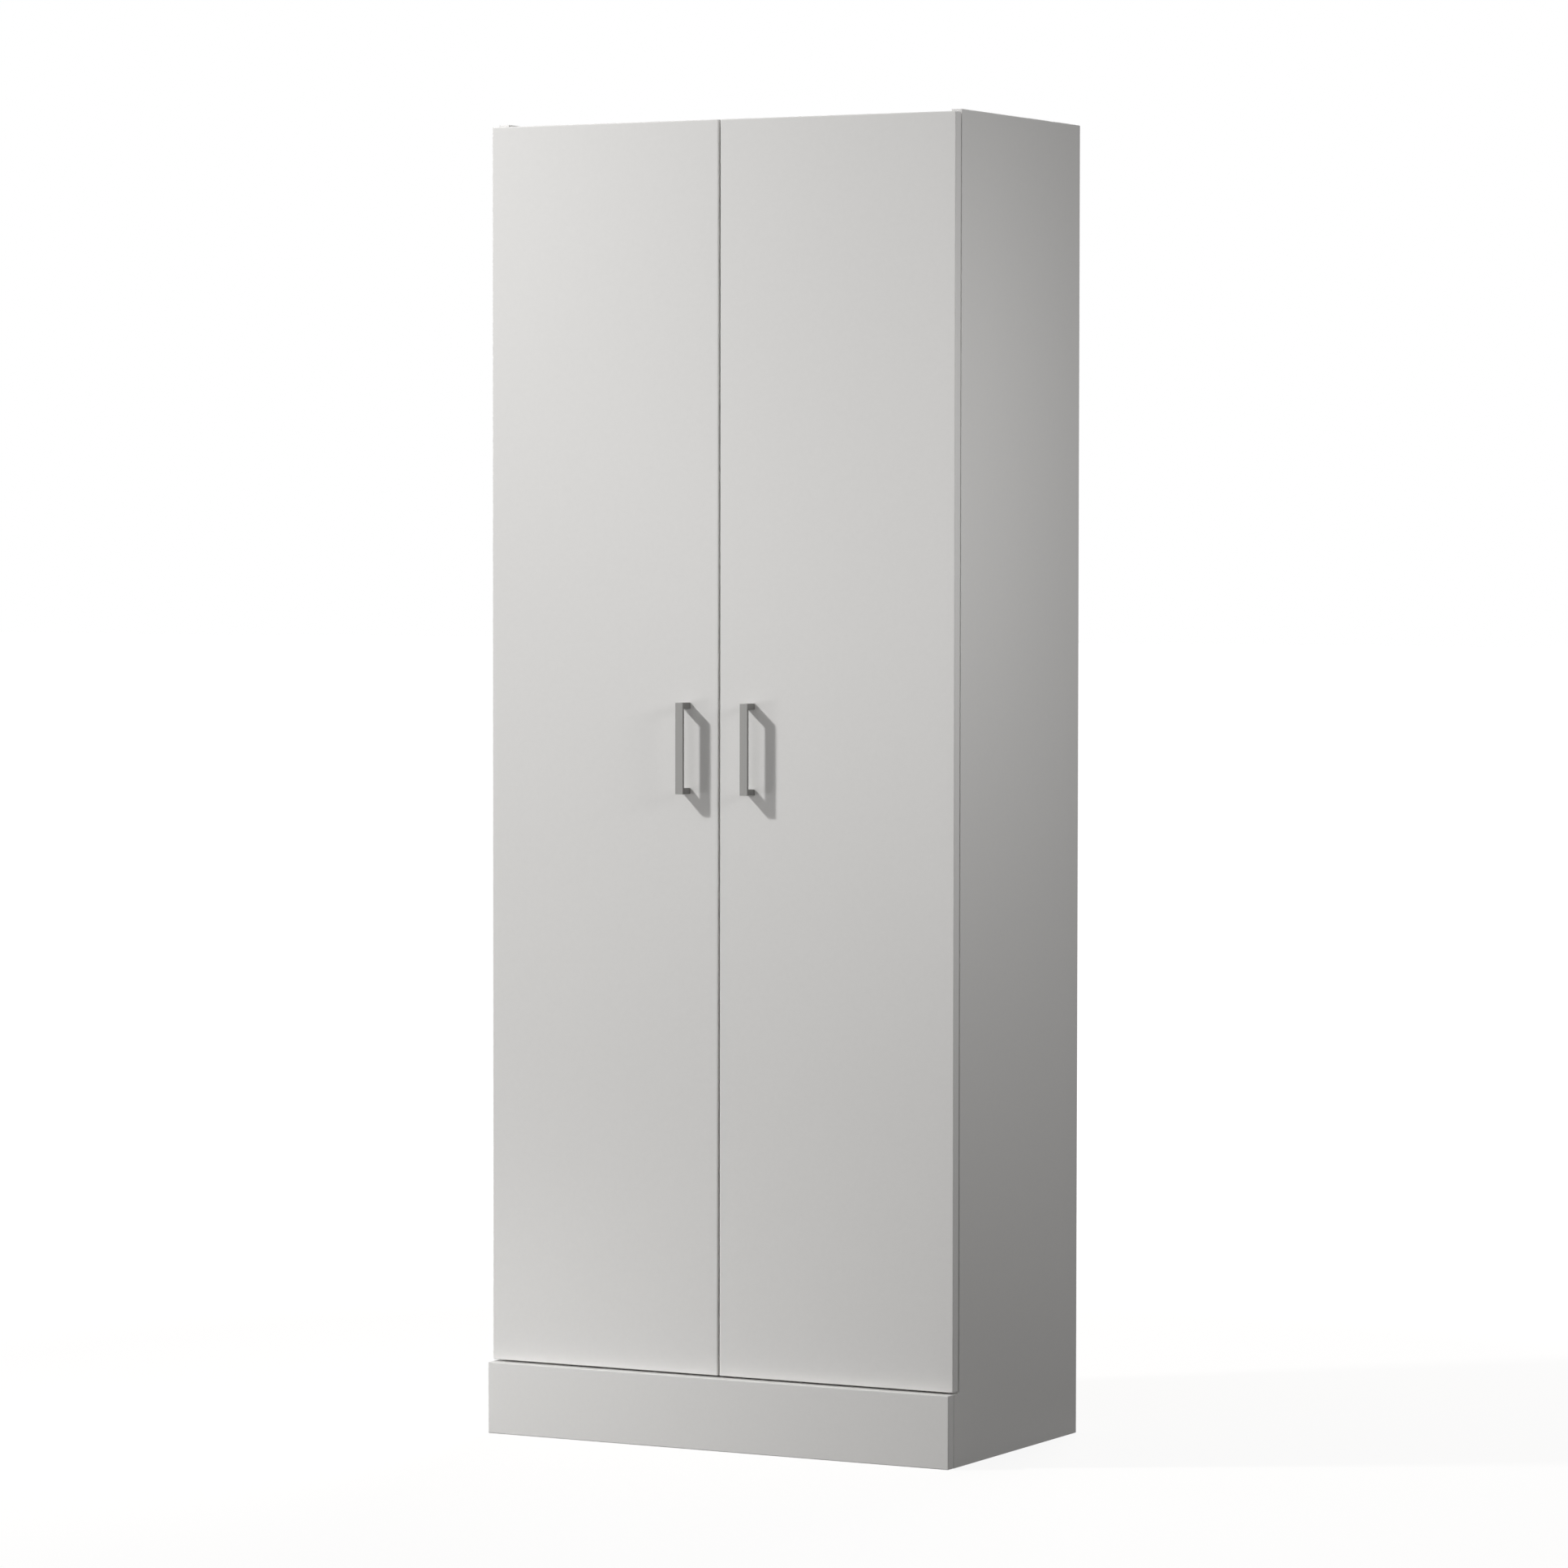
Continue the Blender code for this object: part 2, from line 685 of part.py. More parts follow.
def ear_corners():
    """Outline of the cup's flange: X inwards from the hinge axis, Y along the axis."""
    radius = EAR_ROUND
    outer = FLANGE_INNER - radius
    inner = EAR_START + radius
    height = EAR_HALF_SPAN - radius
    upper = [(-FLANGE_TRIM, FLANGE_HALF_WIDTH / 2), (0, FLANGE_HALF_WIDTH), (EAR_START, FLANGE_HALF_WIDTH)]
    upper += arc((inner, height), radius, 180, 90, EAR_STEPS)
    upper += arc((outer, height), radius, 90, 0, EAR_STEPS)
    return upper + [(x, -y) for x, y in reversed(upper)]


def hinge_cup_mesh():
    """Cup about its hinge axis, with a flange for two screws and cheeks for the pin.

    X runs inwards from the door's outer edge and Y from the door's front to its back.
    """
    back = DOOR_BOARD - PIVOT_DEPTH
    under = back - CUP_HOLE_DEPTH + FIT
    flange_low = back + FIT
    flange_high = flange_low + FLANGE
    rim = flange_high + CUP_RIM
    shape = bmesh.new()
    add_cylinder(shape, (CUP_CENTRE, under, 0), (CUP_CENTRE, rim, 0), CUP_RADIUS, CUP_SIDES)
    cup = working_object("hinge_cup", mesh_from("hinge_cup", shape))
    flange = outline_mesh("hinge_flange", [ear_corners()], FLANGE)
    flange.transform(Matrix.Rotation(math.radians(90), 4, "X"))
    flange.transform(Matrix.Translation((0, (flange_low + flange_high) / 2, 0)))
    shape = bmesh.new()
    shape.from_mesh(flange)
    bpy.data.meshes.remove(flange)
    combine(cup, shape, "hinge_flange", "UNION")
    shape = bmesh.new()
    add_cylinder(
        shape,
        (CUP_CENTRE, under + CUP_FLOOR, 0),
        (CUP_CENTRE, rim + OVERRUN, 0),
        CUP_RADIUS - CUP_WALL,
        CUP_SIDES,
    )
    ear_x = (EAR_START + FLANGE_INNER) / 2
    for z in (-EAR_SCREW_SPACING / 2, EAR_SCREW_SPACING / 2):
        add_cylinder(
            shape,
            (ear_x, flange_low - OVERRUN, z),
            (ear_x, flange_high + OVERRUN, z),
            EAR_SCREW_RADIUS,
            HOLE_SIDES,
        )
    combine(cup, shape, "hinge_cup_inside", "DIFFERENCE")
    shape = bmesh.new()
    near = ARM_HALF_WIDTH + ARM_PLAY
    for ends in ((near, near + CHEEK), (-near - CHEEK, -near)):
        add_box(
            shape,
            (-CHEEK_OUT, under + CUP_FLOOR / 2, ends[0]),
            (CHEEK_IN, CHEEK_RISE, ends[1]),
        )
    combine(cup, shape, "hinge_cheeks", "UNION")
    shape = bmesh.new()
    bore_end = near + CHEEK + OVERRUN / 2
    bore_radius = HINGE_PIN_RADIUS + FIT
    add_cylinder(shape, (0, 0, -bore_end), (0, 0, bore_end), bore_radius, HINGE_PIN_SIDES)
    combine(cup, shape, "hinge_pin_bore", "DIFFERENCE")
    return freeze(cup)


def hinge_arm_mesh():
    """Arm about its hinge axis: an eye round the pin, a nose, a leg and a pad."""
    pad_low = BOARD + PLATE_RAIL + FIT + FIT - PIVOT_INSET
    leg_in = pad_low + (ARM_PAD - ARM_LEG) / 2
    leg_out = leg_in + ARM_LEG
    carcase = DOOR_BOARD + DOOR_GAP - PIVOT_DEPTH
    pad_front = carcase + PLATE_RAIL_FRONT - (ARM_PAD_LENGTH - PLATE_RAIL_LENGTH)
    pad_rear = pad_front + ARM_PAD_LENGTH
    leg_end = pad_rear - ARM_PAD_ROUND - ARM_BEND
    low = -ARM_EYE_RADIUS
    tangent = math.degrees(math.asin(ARM_NOSE_RISE / ARM_EYE_RADIUS))
    outline = arc((0, 0), ARM_EYE_RADIUS, tangent, 270, ARM_EYE_STEPS)
    outline += [
        (leg_out - ARM_BEND, low),
        (leg_out, low + ARM_BEND),
        (leg_out, leg_end),
        (leg_in, leg_end),
        (leg_in, ARM_NOSE_RISE),
    ]
    bore_radius = HINGE_PIN_RADIUS + FIT
    bore = arc((0, 0), bore_radius, 0, 360, HINGE_PIN_SIDES)[:-1]
    mesh = outline_mesh("hinge_arm", [outline, bore], 2 * ARM_HALF_WIDTH)
    arm = working_object("hinge_arm", mesh)
    shape = bmesh.new()
    half = ARM_PAD_WIDTH / 2
    add_box(shape, (pad_low, pad_front, -half), (pad_low + ARM_PAD, pad_rear, half))
    bmesh.ops.bevel(
        shape,
        geom=shape.edges[:],
        offset=ARM_PAD_ROUND,
        segments=ARM_PAD_STEPS,
        profile=ROUND_PROFILE_SHARE,
        affect="EDGES",
    )
    combine(arm, shape, "hinge_arm_pad", "UNION")
    return freeze(arm)


def hinge_plate_mesh():
    """Mounting plate on the side panel, in the hinge axis's frame: a rail and two wings."""
    face = BOARD + FIT - PIVOT_INSET
    rail_front = DOOR_BOARD + DOOR_GAP + PLATE_RAIL_FRONT - PIVOT_DEPTH
    rail_rear = rail_front + PLATE_RAIL_LENGTH
    row = DOOR_BOARD + DOOR_GAP + PIN_FRONT_ROW - PIVOT_DEPTH
    half_rail = PLATE_RAIL_WIDTH / 2
    shape = bmesh.new()
    add_box(shape, (face, rail_front, -half_rail), (face + PLATE_RAIL, rail_rear, half_rail))
    plate = working_object("hinge_plate", mesh_from("hinge_plate", shape))
    round_edges(plate, PLATE_ROUND, PLATE_ROUND_STEPS)
    shape = bmesh.new()
    half_length = PLATE_WING_LENGTH / 2
    half_width = PLATE_WING_WIDTH / 2
    add_box(
        shape,
        (face, row - half_width, -half_length),
        (face + PLATE_WING, row + half_width, half_length),
    )
    combine(plate, shape, "hinge_plate_wings", "UNION")
    shape = bmesh.new()
    for z in (-PLATE_SCREW_SPACING / 2, PLATE_SCREW_SPACING / 2):
        add_cylinder(
            shape,
            (face - OVERRUN, row, z),
            (face + PLATE_WING + OVERRUN, row, z),
            PLATE_SCREW_RADIUS,
            HOLE_SIDES,
        )
    combine(plate, shape, "hinge_plate_holes", "DIFFERENCE")
    return freeze(plate)


def add_hinges(side_name, side, axis):
    """Three hinges: cup and pin on the door, arm and plate on the side panel.

    The pieces are alike above and below, so half a turn about Y fits them to the other side.
    """
    turn = (0, 0, 0) if side < 0 else (0, math.pi, 0)
    carriers = {"hinge_cup": axis, "hinge_pin": axis, "hinge_arm": None, "hinge_plate": None}
    for level, z in HINGE_LEVELS.items():
        place = (axis.location.x, axis.location.y, z)
        for piece, carrier in carriers.items():
            name = f"{side_name}_{level}_{piece}"
            add_part(name, MESHES[piece], "zinc_plate", place, turn, carrier)


def bumper_mesh():
    """Round bumper; Z = 0 is the face that sticks to the door."""
    height = DOOR_GAP - FIT - FIT
    profile = [
        (0, height),
        (BUMPER_RADIUS - BUMPER_ROUND, height),
        (BUMPER_RADIUS, height - BUMPER_ROUND),
        (BUMPER_RADIUS, 0),
        (0, 0),
    ]
    return turned_mesh("bumper", profile, BUMPER_SIDES)


def add_bumper(side_name, side, axis):
    """Bumper on the door's back that meets the top panel's front edge."""
    x = side * (MEETING_GAP / 2 + BUMPER_EDGE)
    place = (x, DOOR_BACK_Y + FIT, TOP_UNDERSIDE + BOARD / 2)
    turn = along((0, 1, 0)).to_euler()
    add_part(side_name + "_door_bumper", MESHES["bumper"], "clear_bumper", place, turn, axis)


def door_axis(side_name, side):
    """Empty on a door's hinge axis, which carries all that swings with the door."""
    axis = bpy.data.objects.new(side_name + "_door_axis", None)
    PARTS.objects.link(axis)
    axis.location = (side * (WIDTH / 2 - PIVOT_INSET), DOOR_FRONT_Y + PIVOT_DEPTH, DOOR_BOTTOM)
    return axis


def add_carcase():
    """Every fixed board."""
    for side_name, side in SIDES.items():
        add_side_panel(side_name + "_side_panel", side)
    add_level_board("top_panel", CARCASE_FRONT_Y, BACK_Y, TOP_UNDERSIDE, groove=-1)
    add_level_board("bottom_panel", FOOT_FRONT_Y, BACK_Y, PLINTH_HEIGHT - BOARD, groove=1)
    shelf_rear = BACK_BOARD_MIDDLE_Y - STRIP_OUTSIDE - FIT
    add_level_board("fixed_shelf", CARCASE_FRONT_Y, shelf_rear, FIXED_UNDERSIDE)
    add_plinth()
    add_back()
    add_wall_bracket()


def add_doors():
    """Each door with its handle, hinges and bumper."""
    for side_name, side in SIDES.items():
        axis = door_axis(side_name, side)
        add_door(side_name, side, axis)
        add_handle(side_name, side, axis)
        add_hinges(side_name, side, axis)
        add_bumper(side_name, side, axis)


clear_scene()
PARTS = collection("tall_storage_cabinet")
CUTTERS = collection("cutters")
MESHES = {
    "handle_screw": handle_screw_mesh(),
    "hinge_pin": hinge_pin_mesh(),
    "hinge_cup": hinge_cup_mesh(),
    "hinge_arm": hinge_arm_mesh(),
    "hinge_plate": hinge_plate_mesh(),
    "bumper": bumper_mesh(),
}
add_carcase()
add_loose_shelves()
add_shelf_pins()
add_doors()
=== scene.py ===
"""Looks of a tall storage cabinet with two doors, around its packed solids.

Every board keeps its solid and gets its finish. The metal and plastic fittings are made again
from their solids with smooth faces, and small fasteners are added where they show. A pale
studio with lamps and a camera stands round the cabinet. All lengths are in metres.
"""

import json
import math

import bmesh
import bpy
from bpy.props import FloatProperty, FloatVectorProperty, IntProperty, PointerProperty
from mathutils import Matrix, Vector


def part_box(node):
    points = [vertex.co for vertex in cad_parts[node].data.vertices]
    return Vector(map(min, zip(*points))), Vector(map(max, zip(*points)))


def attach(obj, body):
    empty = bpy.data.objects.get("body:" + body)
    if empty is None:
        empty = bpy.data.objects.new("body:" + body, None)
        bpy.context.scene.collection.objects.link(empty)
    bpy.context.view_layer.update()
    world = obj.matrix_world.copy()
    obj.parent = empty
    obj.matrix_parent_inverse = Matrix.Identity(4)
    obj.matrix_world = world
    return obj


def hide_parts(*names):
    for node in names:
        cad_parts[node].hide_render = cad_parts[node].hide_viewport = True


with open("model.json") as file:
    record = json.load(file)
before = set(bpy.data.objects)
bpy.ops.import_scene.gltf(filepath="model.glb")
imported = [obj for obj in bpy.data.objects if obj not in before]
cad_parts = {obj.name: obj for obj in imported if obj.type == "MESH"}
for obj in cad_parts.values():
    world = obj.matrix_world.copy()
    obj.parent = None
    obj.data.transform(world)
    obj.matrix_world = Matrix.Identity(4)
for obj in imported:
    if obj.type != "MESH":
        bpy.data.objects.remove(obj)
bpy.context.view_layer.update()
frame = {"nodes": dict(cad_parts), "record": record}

bl_info = {
    "name": "Tall storage cabinet",
    "version": (1, 0, 0),
    "blender": (4, 5, 0),
    "location": "3D View > Sidebar > Cabinet",
    "description": "Finishes, fittings and studio of a tall storage cabinet",
    "category": "Object",
}

SIDES = {"left": -1, "right": 1}
LEVELS = ("upper", "middle", "lower")

# Node names by finish
BOARDS = {
    "left_side_panel": "X",
    "right_side_panel": "X",
    "top_panel": "Z",
    "bottom_panel": "Z",
    "fixed_shelf": "Z",
    "adjustable_shelf_1": "Z",
    "adjustable_shelf_2": "Z",
    "adjustable_shelf_3": "Z",
    "plinth_board": "Y",
    "rear_plinth_rail": "Y",
    "left_door": "Y",
    "right_door": "Y",
}
HARDBOARDS = ("lower_back_panel", "upper_back_panel")
SHELF_PINS = [n for n in sorted(frame["nodes"]) if n.startswith("shelf_") and "_pin_" in n]

# Lamps: place, aim, side of the square and width of the beam in degrees
LAMPS = {
    "key": ((-2.3, -1.8, 3.2), (0, -0.17, 1.2), 0.2, 100),
    "front": ((-2.0, -6.0, 0.8), (-0.1, -0.17, 0.8), 2.0, 60),
    "right": ((2.2, -0.8, 1.7), (0.355, -0.3, 1.3), 0.6, 60),
    "low": ((-2.6, -2.0, 0.3), (-0.25, -0.17, 0.05), 1.0, 50),
    "plinth": ((-1.6, -1.0, 0.1), (-0.3, -0.19, 0.03), 0.3, 30),
    "rear": ((-0.9, 5.0, 2.8), (0, 0.2, 0.9), 2.0, 180),
}
SENSOR = 36  # width of the camera's sensor in millimetres
CLIP = (0.1, 200)

# Sockets of node groups
FLOAT, VECTOR = "NodeSocketFloat", "NodeSocketVector"

# Meshes
WELD = 0.000001  # points nearer than this are one point
FLAT_ANGLE = math.radians(0.5)  # faces that turn less are one flat face
SMOOTH_ANGLE = math.radians(35)  # edges that turn more stay sharp
BEVEL_ANGLE = math.radians(50)  # edges that turn more are softened
BEVEL_STEPS = 2
SMALL_ROUND = 0.0002  # softened edges of the smallest fittings
MIDDLE_ROUND = 0.0003
HANDLE_ROUND = 0.0004
HEAD_SIDES = 24
HEAD_RINGS = 3

# Fittings, as the solids have them
PLATE_SCREWS = 0.032  # between the two screws of a mounting plate
PLATE_WING = 0.002  # thickness of its wings
ARM_SCREWS = (0.010, 0.034)  # from an arm's rear end to its screws
CUP_SCREWS = 0.048  # between the two screws of a cup
CUP_SCREW_INSET = 0.023  # from the hinge pin to them
CUP_RIM = 0.0002  # from a cup's rim to its ears
BRACKET = 0.002  # thickness of the wall bracket


# Properties


def length(name, description, default):
    """A length that a user may change."""
    return FloatProperty(
        name=name, description=description, default=default, min=0, precision=5, unit="LENGTH"
    )


def share(name, description, default):
    """A share from 0 to 1."""
    return FloatProperty(
        name=name, description=description, default=default, min=0, max=1, subtype="FACTOR"
    )


def number(name, description, default):
    """A plain number."""
    return FloatProperty(name=name, description=description, default=default, min=0, precision=4)


def angle(name, description, degrees):
    """An angle, given in degrees."""
    return FloatProperty(
        name=name, description=description, default=math.radians(degrees), subtype="ANGLE"
    )


def colour(name, description, default):
    """A linear colour."""
    return FloatVectorProperty(
        name=name, description=description, default=default, min=0, max=1, subtype="COLOR"
    )


def place(name, description, default):
    """A point in the cabinet's frame."""
    return FloatVectorProperty(
        name=name, description=description, default=default, subtype="TRANSLATION", unit="LENGTH"
    )


class CabinetBoards(bpy.types.PropertyGroup):
    """Melamine boards."""

    tint: colour("Board colour", "White of the melamine faces", (0.8, 0.791, 0.775))
    roughness: share("Roughness", "Roughness of the melamine faces", 0.42)
    gloss: share("Gloss", "Strength of the reflection on the melamine faces", 0.3)
    grain: length("Grain size", "Size of the faint grain in the faces", 0.0055)
    grain_tone: share("Grain tone", "How far the grain changes the colour", 0.03)
    broad: length("Broad size", "Size of the slow change of tone across a board", 0.35)
    broad_tone: share("Broad tone", "How far that slow change goes", 0.02)
    pebble: length("Pebble size", "Size of the pressed surface's pebbles", 0.0011)
    pebble_depth: length("Pebble depth", "Depth of those pebbles", 0.00004)
    band: length("Edge band", "Thickness of the glued edge band", 0.0008)
    band_tone: share("Edge band tone", "How much lighter the band is than the faces", 0.012)
    glue_line: length("Glue line", "Width of the joint between band and face", 0.00022)
    glue_tone: share("Glue line tone", "How much darker that joint is", 0.16)


class CabinetBack(bpy.types.PropertyGroup):
    """Hardboard back and the strip that joins it."""

    tint: colour("Inside colour", "White lacquer on the inside face", (0.76, 0.75, 0.73))
    bare: colour("Bare colour", "Bare hardboard behind", (0.31, 0.175, 0.088))
    fibre: length("Fibre size", "Size of the fibres in the bare face", 0.0022)
    fibre_tone: share("Fibre tone", "How far the fibres change the colour", 0.5)
    screen: length("Screen pitch", "Pitch of the screen pressed into the bare face", 0.0016)
    screen_depth: length("Screen depth", "Depth of that screen", 0.00012)
    strip: colour("Strip colour", "White plastic of the joining strip", (0.78, 0.78, 0.76))
    strip_roughness: share("Strip roughness", "Roughness of the joining strip", 0.42)


class CabinetMetals(bpy.types.PropertyGroup):
    """Handles and fittings."""

    nickel: colour("Nickel", "Satin nickel on the handles", (0.24, 0.237, 0.23))
    nickel_roughness: share("Nickel roughness", "Roughness of the handles", 0.62)
    brush_length: length("Brush length", "Length of the brush marks", 0.03)
    brush_width: length("Brush width", "Width of the brush marks", 0.0003)
    brush_depth: length("Brush depth", "Depth of the brush marks", 0.00001)
    zinc: colour("Zinc", "Zinc plate on the fittings", (0.62, 0.62, 0.63))
    zinc_roughness: share("Zinc roughness", "Roughness of the fittings", 0.3)
    spangle: length("Spangle", "Size of the zinc's cloudy patches", 0.003)
    bumper: colour("Bumper", "Soft clear plastic of the bumpers", (0.82, 0.82, 0.8))


class CabinetFasteners(bpy.types.PropertyGroup):
    """Screw heads and cam locks."""

    screw_radius: length("Screw radius", "Radius of a hinge screw's head", 0.0036)
    screw_height: length("Screw height", "Height of a hinge screw's head at its edge", 0.0008)
    screw_crown: length("Screw crown", "Rise of the head towards its middle", 0.0007)
    slot_length: length("Recess length", "Length of each arm of the cross recess", 0.0042)
    slot_width: length("Recess width", "Width of each arm of the cross recess", 0.0009)
    slot_depth: length("Recess depth", "Depth of the cross recess", 0.0009)
    cam_radius: length("Cam radius", "Radius of a cam lock", 0.0075)
    cam_height: length("Cam height", "How far a cam lock stands out of its board", 0.0004)
    cam_inset: length("Cam inset", "From a side panel's face to a cam's middle", 0.034)
    cam_crown: length("Cam crown", "Rise of a cam lock towards its middle", 0.0001)
    cam_slot: length("Cam recess", "Length of each arm of a cam's cross recess", 0.009)
    cam_slot_width: length("Cam recess width", "Width of those arms", 0.0022)
    cam_slot_depth: length("Cam recess depth", "Depth of a cam's cross recess", 0.00035)
    seed: IntProperty(name="Seed", description="Seed of the heads' random turns", default=7)


class CabinetStudio(bpy.types.PropertyGroup):
    """Camera, lamps and floor."""

    camera: place("Camera", "Place of the camera", (3.9782, -7.4244, 1.2290))
    pan: angle("Pan", "Turn of the camera to the left of straight on", 28.161)
    tilt: angle("Tilt", "Tilt of the camera below the horizon", 2.260)
    roll: angle("Roll", "Roll of the camera", 0.072)
    lens: number("Lens", "Focal length in millimetres on a 36 mm sensor", 140.82)
    key_power: number("Key power", "Power of the key lamp in watts", 30.3)
    front_power: number("Front power", "Power of the wide lamp in front in watts", 2.85)
    right_power: number("Right power", "Power of the lamp at the right in watts", 1.68)
    low_power: number("Low power", "Power of the low lamp in front in watts", 2.4)
    plinth_power: number("Plinth power", "Power of the lamp for the plinth in watts", 0.21)
    rear_power: number("Rear power", "Power of the wide lamp behind in watts", 150)
    ambient: number("Ambient", "Strength of the light from all round", 0.27)
    floor_tint: colour("Floor colour", "Colour of the floor", (0.12, 0.115, 0.11))
    floor_glow: number("Floor glow", "White that the camera sees near the cabinet", 0.9)
    shadow_reach: length("Shadow reach", "How far out the floor keeps its own shade", 1.4)
    floor_size: length("Floor size", "Half the floor's side", 60.0)


# Node trees


def add_node(tree, kind, inputs=None, **settings):
    """Add a node. An input is given a value or another node's output."""
    node = tree.nodes.new(kind)
    for name, value in settings.items():
        setattr(node, name, value)
    for name, value in (inputs or {}).items():
        if isinstance(value, bpy.types.NodeSocket):
            tree.links.new(value, node.inputs[name])
        else:
            node.inputs[name].default_value = value
    return node


def calculate(tree, operation, *values):
    """Output of a Math node."""
    node = add_node(tree, "ShaderNodeMath", dict(enumerate(values)), operation=operation)
    return node.outputs[0]


def calculate_vector(tree, operation, *values):
    """Vector output of a Vector Math node."""
    node = add_node(tree, "ShaderNodeVectorMath", dict(enumerate(values)), operation=operation)
    return node.outputs[0]


def scaled(tree, vector, factor):
    """A vector times a number."""
    inputs = {"Vector": vector, "Scale": factor}
    return add_node(tree, "ShaderNodeVectorMath", inputs, operation="SCALE").outputs[0]


def limits(tree, value, low, high):
    """0 below low, 1 above high, and a straight slope between."""
    inputs = {"Value": value, "From Min": low, "From Max": high}
    return add_node(tree, "ShaderNodeMapRange", inputs, clamp=True).outputs[0]


def new_group(name, kind, inputs, outputs):
    """A node group with named sockets, and its input and output nodes."""
    tree = bpy.data.node_groups.new(name, kind)
    for direction, sockets in (("INPUT", inputs), ("OUTPUT", outputs)):
        for socket, (socket_kind, default) in sockets.items():
            made = tree.interface.new_socket(socket, in_out=direction, socket_type=socket_kind)
            if default is not None:
                made.default_value = default
    return tree, tree.nodes.new("NodeGroupInput").outputs, tree.nodes.new("NodeGroupOutput")


def use_group(tree, group, inputs):
    """Outputs of a shader group placed in a tree."""
    node = tree.nodes.new("ShaderNodeGroup")
    node.node_tree = group
    for name, value in inputs.items():
        if isinstance(value, bpy.types.NodeSocket):
            tree.links.new(value, node.inputs[name])
        else:
            node.inputs[name].default_value = value
    return node.outputs


def mottle_group():
    """Soft random value round 0 with patches of a given size, stretched along any axis."""
    name = "Mottle"
    if name in bpy.data.node_groups:
        return bpy.data.node_groups[name]
    inputs = {
        "Coordinates": (VECTOR, None),
        "Size": (VECTOR, (0.01, 0.01, 0.01)),
        "Detail": (FLOAT, 2),
    }
    tree, given, result = new_group(name, "ShaderNodeTree", inputs, {"Value": (FLOAT, None)})
    point = calculate_vector(tree, "DIVIDE", given["Coordinates"], given["Size"])
    noise = add_node(
        tree, "ShaderNodeTexNoise", {"Vector": point, "Scale": 1.0, "Detail": given["Detail"]}
    )
    tree.links.new(calculate(tree, "SUBTRACT", noise.outputs["Fac"], 0.5), result.inputs["Value"])
    return tree


def edge_group():
    """Masks of a board's edge band and glue line, by how near the board's outline is."""
    name = "Board edges"
    if name in bpy.data.node_groups:
        return bpy.data.node_groups[name]
    inputs = {
        "Coordinates": (VECTOR, None),
        "Low corner": (VECTOR, None),
        "High corner": (VECTOR, None),
        "Skip": (VECTOR, None),
        "Band": (FLOAT, 0.001),
        "Line": (FLOAT, 0.0002),
    }
    outputs = {"Band": (FLOAT, None), "Line": (FLOAT, None)}
    tree, given, result = new_group(name, "ShaderNodeTree", inputs, outputs)
    low = calculate_vector(tree, "SUBTRACT", given["Coordinates"], given["Low corner"])
    high = calculate_vector(tree, "SUBTRACT", given["High corner"], given["Coordinates"])
    nearest = calculate_vector(tree, "MINIMUM", low, high)
    nearest = calculate_vector(tree, "ADD", nearest, given["Skip"])
    parts = add_node(tree, "ShaderNodeSeparateXYZ", {"Vector": nearest}).outputs
    depth = calculate(tree, "MINIMUM", parts["X"], parts["Y"])
    depth = calculate(tree, "MINIMUM", depth, parts["Z"])
    off_line = calculate(tree, "ABSOLUTE", calculate(tree, "SUBTRACT", depth, given["Band"]))
    line = calculate(tree, "SUBTRACT", 1.0, limits(tree, off_line, 0.0, given["Line"]))
    band = calculate(tree, "LESS_THAN", depth, given["Band"])
    tree.links.new(band, result.inputs["Band"])
    tree.links.new(line, result.inputs["Line"])
    return tree


def new_material(name):
    """A material with a Principled shader, and the object's own coordinates."""
    material = bpy.data.materials.new(name)
    material.use_nodes = True
    tree = material.node_tree
    shader = tree.nodes["Principled BSDF"]
    coordinates = tree.nodes.new("ShaderNodeTexCoord").outputs["Object"]
    return material, tree, shader, coordinates


def mottle(tree, coordinates, size, detail=2.0):
    """Mottle group's value for patches of one size, or of a size along each axis."""
    size = (size, size, size) if isinstance(size, float) else size
    inputs = {"Coordinates": coordinates, "Size": size, "Detail": detail}
    return use_group(tree, mottle_group(), inputs)["Value"]


def bump(tree, shader, height, depth):
    """Feed a height into the shader's normal. A height of 1 stands out by depth."""
    node = add_node(tree, "ShaderNodeBump", {"Height": height, "Distance": depth})
    tree.links.new(node.outputs["Normal"], shader.inputs["Normal"])


def total(tree, start, *terms):
    """start plus each value times its factor, from (value, factor) pairs."""
    result = start
    for value, factor in terms:
        node = add_node(
            tree, "ShaderNodeMath", {0: value, 1: factor, 2: result}, operation="MULTIPLY_ADD"
        )
        result = node.outputs[0]
    return result


def board_material(node, thin_axis, settings):
    """White melamine with a faint grain, edge bands and their glue lines."""
    grain_roughness, band_roughness = 0.1, -0.05
    material, tree, shader, coordinates = new_material("Melamine " + node.replace("_", " "))
    low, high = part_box(node)
    skip = [1.0 if axis == thin_axis else 0.0 for axis in "XYZ"]  # its two faces aren't edges
    edges = use_group(
        tree,
        edge_group(),
        {
            "Coordinates": coordinates,
            "Low corner": low,
            "High corner": high,
            "Skip": skip,
            "Band": settings.band,
            "Line": settings.glue_line,
        },
    )
    grain = mottle(tree, coordinates, settings.grain)
    broad = mottle(tree, coordinates, settings.broad)
    tone = total(
        tree,
        1.0,
        (grain, settings.grain_tone),
        (broad, settings.broad_tone),
        (edges["Band"], settings.band_tone),
        (edges["Line"], -settings.glue_tone),
    )
    tree.links.new(scaled(tree, tuple(settings.tint), tone), shader.inputs["Base Color"])
    roughness = total(
        tree, settings.roughness, (grain, grain_roughness), (edges["Band"], band_roughness)
    )
    shader.inputs["Specular IOR Level"].default_value = settings.gloss
    tree.links.new(roughness, shader.inputs["Roughness"])
    bump(tree, shader, mottle(tree, coordinates, settings.pebble), settings.pebble_depth)
    return material


